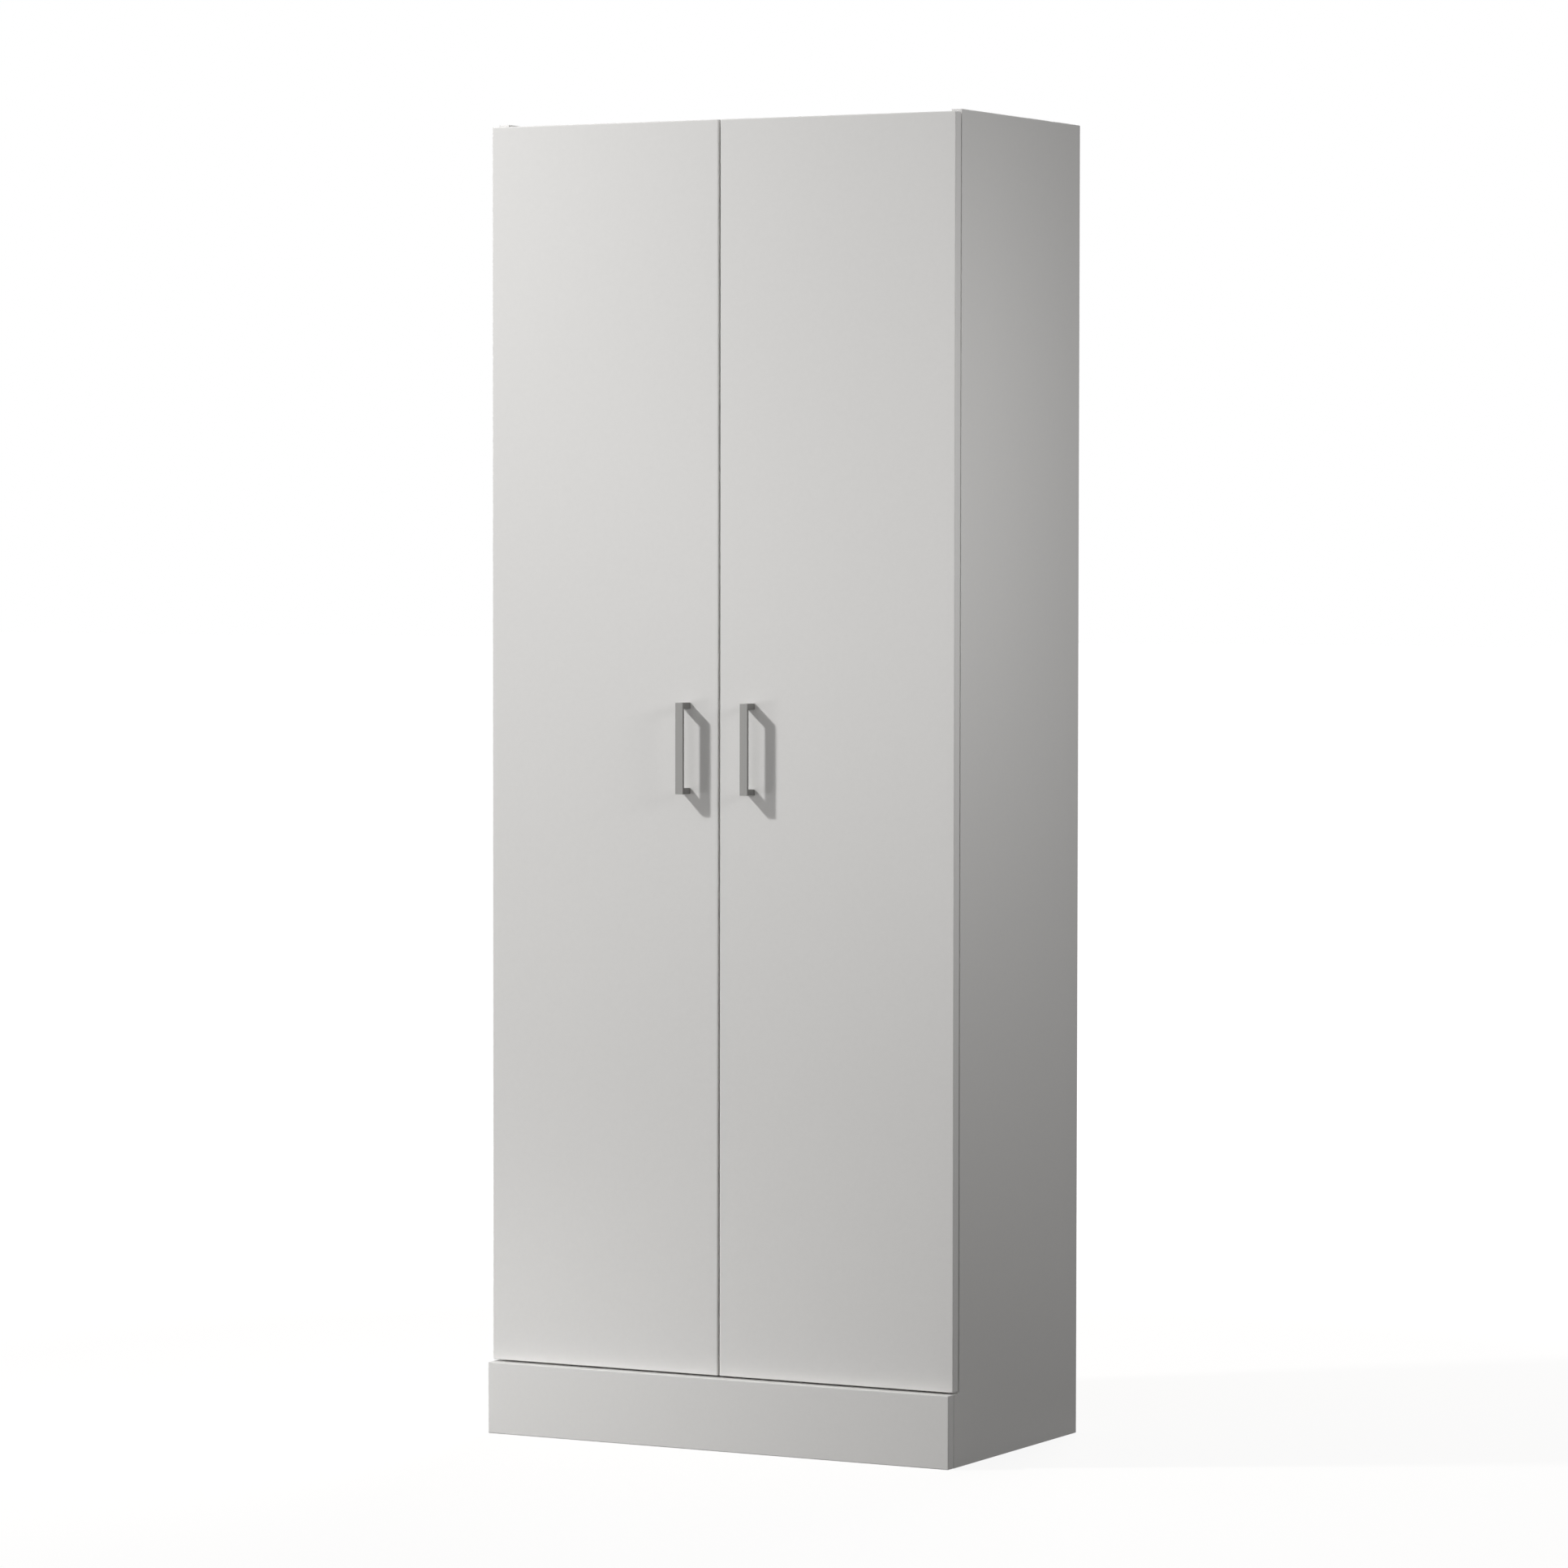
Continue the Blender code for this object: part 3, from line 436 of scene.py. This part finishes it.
def hardboard_material(settings):
    """Hardboard: lacquered white inside, bare brown with a pressed screen behind."""
    skin = 0.0001
    fibre_detail, fibre_rise = 6.0, 0.6
    cloud_size, bare_cloud, lacquer_cloud = 0.06, 0.25, 0.02
    lacquer_roughness, bare_roughness = 0.5, 0.8
    material, tree, shader, coordinates = new_material("Hardboard")
    low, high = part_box(HARDBOARDS[0])
    middle = (low.y + high.y) / 2
    parts = add_node(tree, "ShaderNodeSeparateXYZ", {"Vector": coordinates}).outputs
    behind = limits(tree, parts["Y"], middle, high.y - skin)
    fibre_size = (settings.fibre * 2, settings.fibre, settings.fibre)
    fibre = mottle(tree, coordinates, fibre_size, fibre_detail)
    cloud = mottle(tree, coordinates, cloud_size)
    tone = total(tree, 1.0, (fibre, settings.fibre_tone), (cloud, bare_cloud))
    bare = scaled(tree, tuple(settings.bare), tone)
    white = scaled(tree, tuple(settings.tint), total(tree, 1.0, (cloud, lacquer_cloud)))
    mix = add_node(tree, "ShaderNodeMix", data_type="VECTOR")
    first, second, mixed = mix.inputs[4], mix.inputs[5], mix.outputs[1]  # sockets for vectors
    tree.links.new(behind, mix.inputs["Factor"])
    tree.links.new(white, first)
    tree.links.new(bare, second)
    tree.links.new(mixed, shader.inputs["Base Color"])
    roughness = total(tree, lacquer_roughness, (behind, bare_roughness - lacquer_roughness))
    tree.links.new(roughness, shader.inputs["Roughness"])
    waves = []
    for axis in (parts["X"], parts["Z"]):
        turns = calculate(tree, "MULTIPLY", axis, math.pi / settings.screen)
        waves.append(calculate(tree, "ABSOLUTE", calculate(tree, "SINE", turns)))
    screen = calculate(tree, "MULTIPLY", calculate(tree, "MULTIPLY", *waves), behind)
    bump(tree, shader, total(tree, screen, (fibre, fibre_rise)), settings.screen_depth)
    return material


def plastic_material(settings):
    """White extruded plastic with faint lines along the strip."""
    line_size = (0.4, 0.0006, 0.0006)
    line_tone, line_roughness, line_depth = 0.05, 0.15, 0.00002
    material, tree, shader, coordinates = new_material("White plastic")
    lines = mottle(tree, coordinates, line_size)
    tone = total(tree, 1.0, (lines, line_tone))
    tree.links.new(scaled(tree, tuple(settings.strip), tone), shader.inputs["Base Color"])
    roughness = total(tree, settings.strip_roughness, (lines, line_roughness))
    tree.links.new(roughness, shader.inputs["Roughness"])
    bump(tree, shader, lines, line_depth)
    return material


def nickel_material(settings):
    """Satin nickel, finely brushed along the handles."""
    mark_detail, mark_tone, mark_roughness = 3.0, 0.12, 0.14
    cloud_size, cloud_tone, cloud_roughness = 0.012, 0.06, 0.05
    mark_size = (settings.brush_width, settings.brush_width, settings.brush_length)
    material, tree, shader, coordinates = new_material("Satin nickel")
    shader.inputs["Metallic"].default_value = 1.0
    marks = mottle(tree, coordinates, mark_size, mark_detail)
    cloud = mottle(tree, coordinates, cloud_size)
    tone = total(tree, 1.0, (marks, mark_tone), (cloud, cloud_tone))
    tree.links.new(scaled(tree, tuple(settings.nickel), tone), shader.inputs["Base Color"])
    roughness = total(
        tree, settings.nickel_roughness, (marks, mark_roughness), (cloud, cloud_roughness)
    )
    tree.links.new(roughness, shader.inputs["Roughness"])
    bump(tree, shader, marks, settings.brush_depth)
    return material


def zinc_material(settings):
    """Bright zinc plate with cloudy patches."""
    patch_detail, patch_tone, patch_roughness = 3.0, 0.1, 0.15
    fine_size, fine_roughness = 0.0004, 0.06
    material, tree, shader, coordinates = new_material("Zinc plate")
    shader.inputs["Metallic"].default_value = 1.0
    patches = mottle(tree, coordinates, settings.spangle, patch_detail)
    fine = mottle(tree, coordinates, fine_size)
    tone = total(tree, 1.0, (patches, patch_tone))
    tree.links.new(scaled(tree, tuple(settings.zinc), tone), shader.inputs["Base Color"])
    roughness = total(
        tree, settings.zinc_roughness, (patches, patch_roughness), (fine, fine_roughness)
    )
    tree.links.new(roughness, shader.inputs["Roughness"])
    return material


def bumper_material(settings):
    """Soft, slightly cloudy clear plastic."""
    cloud_size, cloud_tone, cloud_roughness = 0.002, 0.06, 0.2
    roughness, clearness, refraction = 0.3, 0.55, 1.47
    material, tree, shader, coordinates = new_material("Clear bumper")
    cloud = mottle(tree, coordinates, cloud_size)
    tone = total(tree, 1.0, (cloud, cloud_tone))
    tree.links.new(scaled(tree, tuple(settings.bumper), tone), shader.inputs["Base Color"])
    tree.links.new(total(tree, roughness, (cloud, cloud_roughness)), shader.inputs["Roughness"])
    shader.inputs["Transmission Weight"].default_value = clearness
    shader.inputs["IOR"].default_value = refraction
    return material


def shared_material(name, make, settings):
    """The material of that name, made once."""
    return bpy.data.materials.get(name) or make(settings)


def zinc_plate(context):
    """Finish of the steel fittings."""
    return shared_material("Zinc plate", zinc_material, context.scene.cabinet_metals)


def dress(node, material):
    """Give a CAD node its finish."""
    shown = frame["nodes"][node]
    if not shown.material_slots:
        shown.data.materials.append(material)
    for slot in shown.material_slots:
        slot.material = material


# Pieces


def body_of(node):
    """Body that carries a CAD node."""
    bodies = frame["record"]["behaviour"]["bodies"]
    return next(body for body, nodes in bodies.items() if node in nodes)


def middle_of(node):
    """Middle of a CAD node's box."""
    low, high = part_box(node)
    return (low + high) / 2


def new_piece(name, mesh, material):
    """An object for a mesh that is already in its place."""
    piece = bpy.data.objects.new(name, mesh)
    bpy.context.scene.collection.objects.link(piece)
    mesh.materials.clear()
    mesh.materials.append(material)
    return piece


def settled(piece):
    """Apply a piece's modifiers, and return it with a plain mesh."""
    graph = bpy.context.evaluated_depsgraph_get()
    mesh = bpy.data.meshes.new_from_object(piece.evaluated_get(graph))
    piece.modifiers.clear()
    old = piece.data
    piece.data = mesh
    bpy.data.meshes.remove(old)
    mesh.name = piece.name
    return piece


def smoothed(piece):
    """Smooth a piece's rounds, keep its sharp turns, and let wide flat faces stay flat."""
    piece.data.shade_smooth()
    piece.data.set_sharp_from_angle(angle=SMOOTH_ANGLE)
    weighted = piece.modifiers.new("Weighted normals", "WEIGHTED_NORMAL")
    weighted.keep_sharp = True
    return settled(piece)


def welded_copy(node):
    """A CAD node's mesh with its loose triangles joined."""
    shape = bmesh.new()
    shape.from_mesh(frame["nodes"][node].data)
    bmesh.ops.remove_doubles(shape, verts=shape.verts, dist=WELD)
    bmesh.ops.dissolve_limit(shape, angle_limit=FLAT_ANGLE, verts=shape.verts, edges=shape.edges)
    mesh = bpy.data.meshes.new(node + "_finished")
    shape.to_mesh(mesh)
    shape.free()
    return mesh


def rebuild(node, material, softened=0.0):
    """Make a fitting again from its solid, with smooth faces and softened edges."""
    piece = new_piece(node + "_finished", welded_copy(node), material)
    if softened:
        bevel = piece.modifiers.new("Softened edges", "BEVEL")
        bevel.width = softened
        bevel.segments = BEVEL_STEPS
        bevel.limit_method = "ANGLE"
        bevel.angle_limit = BEVEL_ANGLE
        bevel.use_clamp_overlap = True
        piece = settled(piece)
    piece = smoothed(piece)
    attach(piece, body_of(node))
    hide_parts(node)


def geometry_inputs(modifier, values):
    """Set a Geometry Nodes modifier's inputs by their names."""
    for item in modifier.node_group.interface.items_tree:
        if item.item_type == "SOCKET" and item.in_out == "INPUT" and item.name in values:
            modifier[item.identifier] = values[item.name]


def head_tree():
    """Geometry Nodes: a crowned round head with a cross recess on every point.

    Each point's "facing" attribute says which way its head looks.
    """
    name = "Fastener heads"
    if name in bpy.data.node_groups:
        return bpy.data.node_groups[name]
    inputs = {
        "Points": ("NodeSocketGeometry", None),
        "Radius": (FLOAT, 0.004),
        "Height": (FLOAT, 0.001),
        "Crown": (FLOAT, 0.0005),
        "Recess Length": (FLOAT, 0.004),
        "Recess Width": (FLOAT, 0.001),
        "Recess Depth": (FLOAT, 0.001),
        "Seed": ("NodeSocketInt", 0),
        "Material": ("NodeSocketMaterial", None),
    }
    outputs = {"Heads": ("NodeSocketGeometry", None)}
    tree, given, result = new_group(name, "GeometryNodeTree", inputs, outputs)
    head = add_node(
        tree,
        "GeometryNodeMeshCylinder",
        {
            "Vertices": HEAD_SIDES,
            "Side Segments": 1,
            "Fill Segments": HEAD_RINGS,
            "Radius": given["Radius"],
            "Depth": given["Height"],
        },
        fill_type="TRIANGLE_FAN",
    ).outputs["Mesh"]
    position = tree.nodes.new("GeometryNodeInputPosition").outputs["Position"]
    flat = calculate_vector(tree, "MULTIPLY", position, (1, 1, 0))
    reach = add_node(tree, "ShaderNodeVectorMath", {0: flat}, operation="LENGTH").outputs["Value"]
    out = calculate(tree, "DIVIDE", reach, given["Radius"])
    rise = calculate(tree, "SUBTRACT", 1.0, calculate(tree, "MULTIPLY", out, out))
    upward = add_node(tree, "ShaderNodeSeparateXYZ", {"Vector": position}).outputs["Z"]
    rise = calculate(tree, "MULTIPLY", rise, calculate(tree, "GREATER_THAN", upward, 0.0))
    rise = calculate(tree, "MULTIPLY", rise, given["Crown"])
    lift = calculate(tree, "ADD", rise, calculate(tree, "MULTIPLY", given["Height"], 0.5))
    offset = add_node(tree, "ShaderNodeCombineXYZ", {"Z": lift}).outputs["Vector"]
    head = add_node(
        tree, "GeometryNodeSetPosition", {"Geometry": head, "Offset": offset}
    ).outputs["Geometry"]
    top = calculate(tree, "ADD", given["Height"], given["Crown"])
    depth = calculate(tree, "MULTIPLY", given["Recess Depth"], 2.0)
    raised = add_node(tree, "ShaderNodeCombineXYZ", {"Z": top}).outputs["Vector"]
    arms = []
    for long_axis, wide_axis in (("X", "Y"), ("Y", "X")):
        size = add_node(
            tree,
            "ShaderNodeCombineXYZ",
            {long_axis: given["Recess Length"], wide_axis: given["Recess Width"], "Z": depth},
        ).outputs["Vector"]
        arm = add_node(tree, "GeometryNodeMeshCube", {"Size": size}).outputs["Mesh"]
        arms.append(
            add_node(
                tree, "GeometryNodeTransform", {"Geometry": arm, "Translation": raised}
            ).outputs["Geometry"]
        )
    cut = add_node(tree, "GeometryNodeMeshBoolean", {"Mesh 1": head}, operation="DIFFERENCE")
    for arm in arms:
        tree.links.new(arm, cut.inputs["Mesh 2"])
    facing = add_node(
        tree, "GeometryNodeInputNamedAttribute", {"Name": "facing"}, data_type="FLOAT_VECTOR"
    ).outputs["Attribute"]
    aim = add_node(tree, "FunctionNodeAlignRotationToVector", {"Vector": facing}, axis="Z")
    spin = add_node(
        tree,
        "FunctionNodeRandomValue",
        {"Min": 0.0, "Max": math.pi, "Seed": given["Seed"]},
        data_type="FLOAT",
    )
    turn = add_node(
        tree,
        "FunctionNodeAxisAngleToRotation",
        {"Axis": (0, 0, 1), "Angle": next(o for o in spin.outputs if o.enabled)},
    ).outputs["Rotation"]
    turned = add_node(
        tree,
        "FunctionNodeRotateRotation",
        {"Rotation": aim.outputs["Rotation"], "Rotate By": turn},
        rotation_space="LOCAL",
    ).outputs["Rotation"]
    placed = add_node(
        tree,
        "GeometryNodeInstanceOnPoints",
        {"Points": given["Points"], "Instance": cut.outputs["Mesh"], "Rotation": turned},
    ).outputs["Instances"]
    real = add_node(tree, "GeometryNodeRealizeInstances", {"Geometry": placed}).outputs["Geometry"]
    finished = add_node(
        tree, "GeometryNodeSetMaterial", {"Geometry": real, "Material": given["Material"]}
    ).outputs["Geometry"]
    tree.links.new(finished, result.inputs["Heads"])
    return tree


def add_heads(name, body, material, points, sizes):
    """One piece with a head at each (place, facing), carried by a body."""
    mesh = bpy.data.meshes.new(name)
    mesh.from_pydata([at for at, _ in points], [], [])
    facing = mesh.attributes.new("facing", "FLOAT_VECTOR", "POINT")
    for row, (_, direction) in zip(facing.data, points):
        row.vector = direction
    piece = new_piece(name, mesh, material)
    modifier = piece.modifiers.new("Heads", "NODES")
    modifier.node_group = head_tree()
    geometry_inputs(modifier, {**sizes, "Material": material})
    piece = smoothed(settled(piece))
    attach(piece, body)


def screw_sizes(settings):
    """Inputs of the heads' tree for a small screw."""
    return {
        "Radius": settings.screw_radius,
        "Height": settings.screw_height,
        "Crown": settings.screw_crown,
        "Recess Length": settings.slot_length,
        "Recess Width": settings.slot_width,
        "Recess Depth": settings.slot_depth,
        "Seed": settings.seed,
    }


# Operators


class CABINET_OT_boards(bpy.types.Operator):
    """Give every melamine board its finish"""

    bl_idname = "cabinet.boards"
    bl_label = "Boards"

    def execute(self, context):
        settings = context.scene.cabinet_boards
        for node, thin_axis in BOARDS.items():
            dress(node, board_material(node, thin_axis, settings))
        return {"FINISHED"}


class CABINET_OT_back(bpy.types.Operator):
    """Finish the hardboard back and make its joining strip"""

    bl_idname = "cabinet.back"
    bl_label = "Back"

    def execute(self, context):
        settings = context.scene.cabinet_back
        for node in HARDBOARDS:
            dress(node, shared_material("Hardboard", hardboard_material, settings))
        plastic = shared_material("White plastic", plastic_material, settings)
        rebuild("back_joining_strip", plastic, SMALL_ROUND)
        return {"FINISHED"}


class CABINET_OT_handles(bpy.types.Operator):
    """Make the two bar handles and their screws"""

    bl_idname = "cabinet.handles"
    bl_label = "Handles"

    def execute(self, context):
        settings = context.scene.cabinet_metals
        nickel = shared_material("Satin nickel", nickel_material, settings)
        zinc = zinc_plate(context)
        for side in SIDES:
            rebuild(side + "_handle", nickel, HANDLE_ROUND)
            for level in ("upper", "lower"):
                rebuild(f"{side}_handle_{level}_screw", zinc, MIDDLE_ROUND)
        return {"FINISHED"}


class CABINET_OT_hinges(bpy.types.Operator):
    """Make the cup, pin, arm and plate of each hinge"""

    bl_idname = "cabinet.hinges"
    bl_label = "Hinges"

    def execute(self, context):
        zinc = zinc_plate(context)
        for side in SIDES:
            for level in LEVELS:
                for fitting in ("cup", "pin", "arm", "plate"):
                    rebuild(f"{side}_{level}_hinge_{fitting}", zinc)
        return {"FINISHED"}


class CABINET_OT_hinge_screws(bpy.types.Operator):
    """Put screws in the hinges' cups, arms and plates"""

    bl_idname = "cabinet.hinge_screws"
    bl_label = "Hinge screws"

    def execute(self, context):
        zinc = zinc_plate(context)
        sizes = screw_sizes(context.scene.cabinet_fasteners)
        front_row = middle_of("shelf_1_pin_left_front").y
        for side, sign in SIDES.items():
            inwards = (-sign, 0, 0)
            fixed, swinging = [], []
            for level in LEVELS:
                hinge = f"{side}_{level}_hinge_"
                pin = middle_of(hinge + "pin")
                plate_low, plate_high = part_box(hinge + "plate")
                arm_low, arm_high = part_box(hinge + "arm")
                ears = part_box(hinge + "cup")[1].y - CUP_RIM
                wing = sign * (max(abs(plate_low.x), abs(plate_high.x)) - PLATE_WING)
                pad = sign * min(abs(arm_low.x), abs(arm_high.x))
                for up in (-PLATE_SCREWS / 2, PLATE_SCREWS / 2):
                    fixed.append(((wing, front_row, pin.z + up), inwards))
                for forward in ARM_SCREWS:
                    fixed.append(((pad, arm_high.y - forward, pin.z), inwards))
                for up in (-CUP_SCREWS / 2, CUP_SCREWS / 2):
                    place_of_screw = (pin.x - sign * CUP_SCREW_INSET, ears, pin.z + up)
                    swinging.append((place_of_screw, (0, 1, 0)))
            for name, body, points in (
                (side + "_hinge_plate_screws", "carcase", fixed),
                (side + "_hinge_cup_screws", side + "_door", swinging),
            ):
                add_heads(name, body, zinc, points, sizes)
        return {"FINISHED"}


class CABINET_OT_cam_locks(bpy.types.Operator):
    """Put cam locks under the top panel and the fixed shelf"""

    bl_idname = "cabinet.cam_locks"
    bl_label = "Cam locks"

    def execute(self, context):
        settings = context.scene.cabinet_fasteners
        zinc = zinc_plate(context)
        points = []
        for board in ("top_panel", "fixed_shelf"):
            low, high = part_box(board)
            for row in ("front", "rear"):
                y = middle_of("shelf_1_pin_left_" + row).y
                for x in (low.x + settings.cam_inset, high.x - settings.cam_inset):
                    points.append(((x, y, low.z), (0, 0, -1)))
        sizes = screw_sizes(settings)
        sizes.update(
            {
                "Radius": settings.cam_radius,
                "Height": settings.cam_height,
                "Crown": settings.cam_crown,
                "Recess Length": settings.cam_slot,
                "Recess Width": settings.cam_slot_width,
                "Recess Depth": settings.cam_slot_depth,
            }
        )
        add_heads("cam_locks", "carcase", zinc, points, sizes)
        return {"FINISHED"}


class CABINET_OT_shelf_pins(bpy.types.Operator):
    """Make the pins that carry the loose shelves"""

    bl_idname = "cabinet.shelf_pins"
    bl_label = "Shelf pins"

    def execute(self, context):
        zinc = zinc_plate(context)
        for node in SHELF_PINS:
            rebuild(node, zinc, SMALL_ROUND)
        return {"FINISHED"}


class CABINET_OT_wall_bracket(bpy.types.Operator):
    """Make the wall bracket and the screw that holds it under the top panel"""

    bl_idname = "cabinet.wall_bracket"
    bl_label = "Wall bracket"

    def execute(self, context):
        zinc = zinc_plate(context)
        rebuild("wall_bracket", zinc, MIDDLE_ROUND)
        low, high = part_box("wall_bracket")
        point = ((0, (low.y + high.y - BRACKET) / 2, high.z - BRACKET), (0, 0, -1))
        sizes = screw_sizes(context.scene.cabinet_fasteners)
        add_heads("wall_bracket_screw", "carcase", zinc, [point], sizes)
        return {"FINISHED"}


class CABINET_OT_bumpers(bpy.types.Operator):
    """Make the soft bumpers that the doors close on"""

    bl_idname = "cabinet.bumpers"
    bl_label = "Bumpers"

    def execute(self, context):
        clear = shared_material("Clear bumper", bumper_material, context.scene.cabinet_metals)
        for side in SIDES:
            rebuild(side + "_door_bumper", clear, MIDDLE_ROUND)
        return {"FINISHED"}


class CABINET_OT_studio(bpy.types.Operator):
    """Set up the floor, the lamps, the surroundings and the camera"""

    bl_idname = "cabinet.studio"
    bl_label = "Studio"

    def execute(self, context):
        settings = context.scene.cabinet_studio
        add_floor(settings)
        for name, lamp in LAMPS.items():
            add_lamp(name, *lamp, getattr(settings, name + "_power"))
        add_surroundings(context.scene, settings)
        add_camera(context.scene, settings)
        context.scene.view_settings.view_transform = "Standard"
        return {"FINISHED"}


def seen_directly(tree):
    """1 for what the camera sees, also in a mirror or through glass."""
    path = tree.nodes.new("ShaderNodeLightPath").outputs
    seen = calculate(tree, "MAXIMUM", path["Is Camera Ray"], path["Is Glossy Ray"])
    return calculate(tree, "MAXIMUM", seen, path["Is Transmission Ray"])


def add_floor(settings):
    """A wide pale floor that the camera sees as white, and that keeps the cabinet's shadow."""
    half = settings.floor_size
    roughness, grain_size, grain_tone = 0.8, 0.4, 0.02
    mesh = bpy.data.meshes.new("floor")
    mesh.from_pydata(
        [(-half, -half, 0), (half, -half, 0), (half, half, 0), (-half, half, 0)], [], [(0, 1, 2, 3)]
    )
    material, tree, shader, coordinates = new_material("Pale floor")
    shader.inputs["Roughness"].default_value = roughness
    shader.inputs["Specular IOR Level"].default_value = 0.0
    grain = mottle(tree, coordinates, grain_size)
    tone = total(tree, 1.0, (grain, grain_tone))
    tree.links.new(scaled(tree, tuple(settings.floor_tint), tone), shader.inputs["Base Color"])
    glow = add_node(tree, "ShaderNodeEmission", {"Color": (1, 1, 1, 1)})
    reach = add_node(tree, "ShaderNodeVectorMath", {0: coordinates}, operation="LENGTH")
    away = limits(tree, reach.outputs["Value"], settings.shadow_reach, 2 * settings.shadow_reach)
    strength = total(tree, settings.floor_glow, (away, 1 - settings.floor_glow))
    strength = calculate(tree, "MULTIPLY", seen_directly(tree), strength)
    tree.links.new(strength, glow.inputs["Strength"])
    both = tree.nodes.new("ShaderNodeAddShader")
    tree.links.new(shader.outputs[0], both.inputs[0])
    tree.links.new(glow.outputs[0], both.inputs[1])
    tree.links.new(both.outputs[0], tree.nodes["Material Output"].inputs["Surface"])
    new_piece("floor", mesh, material)


def add_lamp(name, at, aim, size, beam, power):
    """A square area lamp that faces a point, keeps its light within a beam and isn't seen."""
    lamp = bpy.data.lights.new(name, "AREA")
    lamp.shape = "SQUARE"
    lamp.size = size
    lamp.spread = math.radians(beam)
    lamp.energy = power
    holder = bpy.data.objects.new(name, lamp)
    bpy.context.scene.collection.objects.link(holder)
    holder.visible_camera = False
    holder.location = at
    holder.rotation_euler = (Vector(aim) - Vector(at)).to_track_quat("-Z", "Y").to_euler()


def add_surroundings(scene, settings):
    """Even light from all round, which the camera sees as white."""
    world = bpy.data.worlds.new("Studio")
    scene.world = world
    world.use_nodes = True
    tree = world.node_tree
    around = tree.nodes["Background"]
    around.inputs["Color"].default_value = (1, 1, 1, 1)
    around.inputs["Strength"].default_value = settings.ambient
    white = add_node(tree, "ShaderNodeBackground", {"Color": (1, 1, 1, 1), "Strength": 1.0})
    mix = add_node(tree, "ShaderNodeMixShader", {0: seen_directly(tree)})
    tree.links.new(around.outputs[0], mix.inputs[1])
    tree.links.new(white.outputs[0], mix.inputs[2])
    tree.links.new(mix.outputs[0], tree.nodes["World Output"].inputs["Surface"])


def add_camera(scene, settings):
    """The camera, at the photograph's viewing angle."""
    camera = bpy.data.cameras.new("camera")
    camera.sensor_width = SENSOR
    camera.lens = settings.lens
    camera.clip_start, camera.clip_end = CLIP
    holder = bpy.data.objects.new("camera", camera)
    scene.collection.objects.link(holder)
    turn = (
        Matrix.Rotation(settings.pan, 4, "Z")
        @ Matrix.Rotation(math.radians(90) - settings.tilt, 4, "X")
        @ Matrix.Rotation(settings.roll, 4, "Z")
    )
    holder.location = settings.camera
    holder.rotation_euler = turn.to_euler()
    scene.camera = holder


OPERATORS = (
    CABINET_OT_studio,
    CABINET_OT_boards,
    CABINET_OT_back,
    CABINET_OT_handles,
    CABINET_OT_hinges,
    CABINET_OT_hinge_screws,
    CABINET_OT_cam_locks,
    CABINET_OT_shelf_pins,
    CABINET_OT_wall_bracket,
    CABINET_OT_bumpers,
)
SETTINGS = {
    "cabinet_boards": CabinetBoards,
    "cabinet_back": CabinetBack,
    "cabinet_metals": CabinetMetals,
    "cabinet_fasteners": CabinetFasteners,
    "cabinet_studio": CabinetStudio,
}


class CABINET_PT_sidebar(bpy.types.Panel):
    """Buttons and settings for the cabinet's looks"""

    bl_idname = "CABINET_PT_sidebar"
    bl_label = "Tall storage cabinet"
    bl_space_type = "VIEW_3D"
    bl_region_type = "UI"
    bl_category = "Cabinet"

    def draw(self, context):
        for operator in OPERATORS:
            self.layout.operator(operator.bl_idname)
        for name, group in SETTINGS.items():
            box = self.layout.box()
            box.label(text=group.__doc__)
            for setting in group.__annotations__:
                box.prop(getattr(context.scene, name), setting)


def register():
    for group in (*SETTINGS.values(), *OPERATORS, CABINET_PT_sidebar):
        bpy.utils.register_class(group)
    for name, group in SETTINGS.items():
        setattr(bpy.types.Scene, name, PointerProperty(type=group))


def unregister():
    for name in SETTINGS:
        delattr(bpy.types.Scene, name)
    for group in (CABINET_PT_sidebar, *reversed(OPERATORS), *reversed(SETTINGS.values())):
        bpy.utils.unregister_class(group)


def main():
    register()
    for operator in OPERATORS:
        category, name = operator.bl_idname.split(".")
        getattr(getattr(bpy.ops, category), name)()


if __name__ == "__main__":
    main()
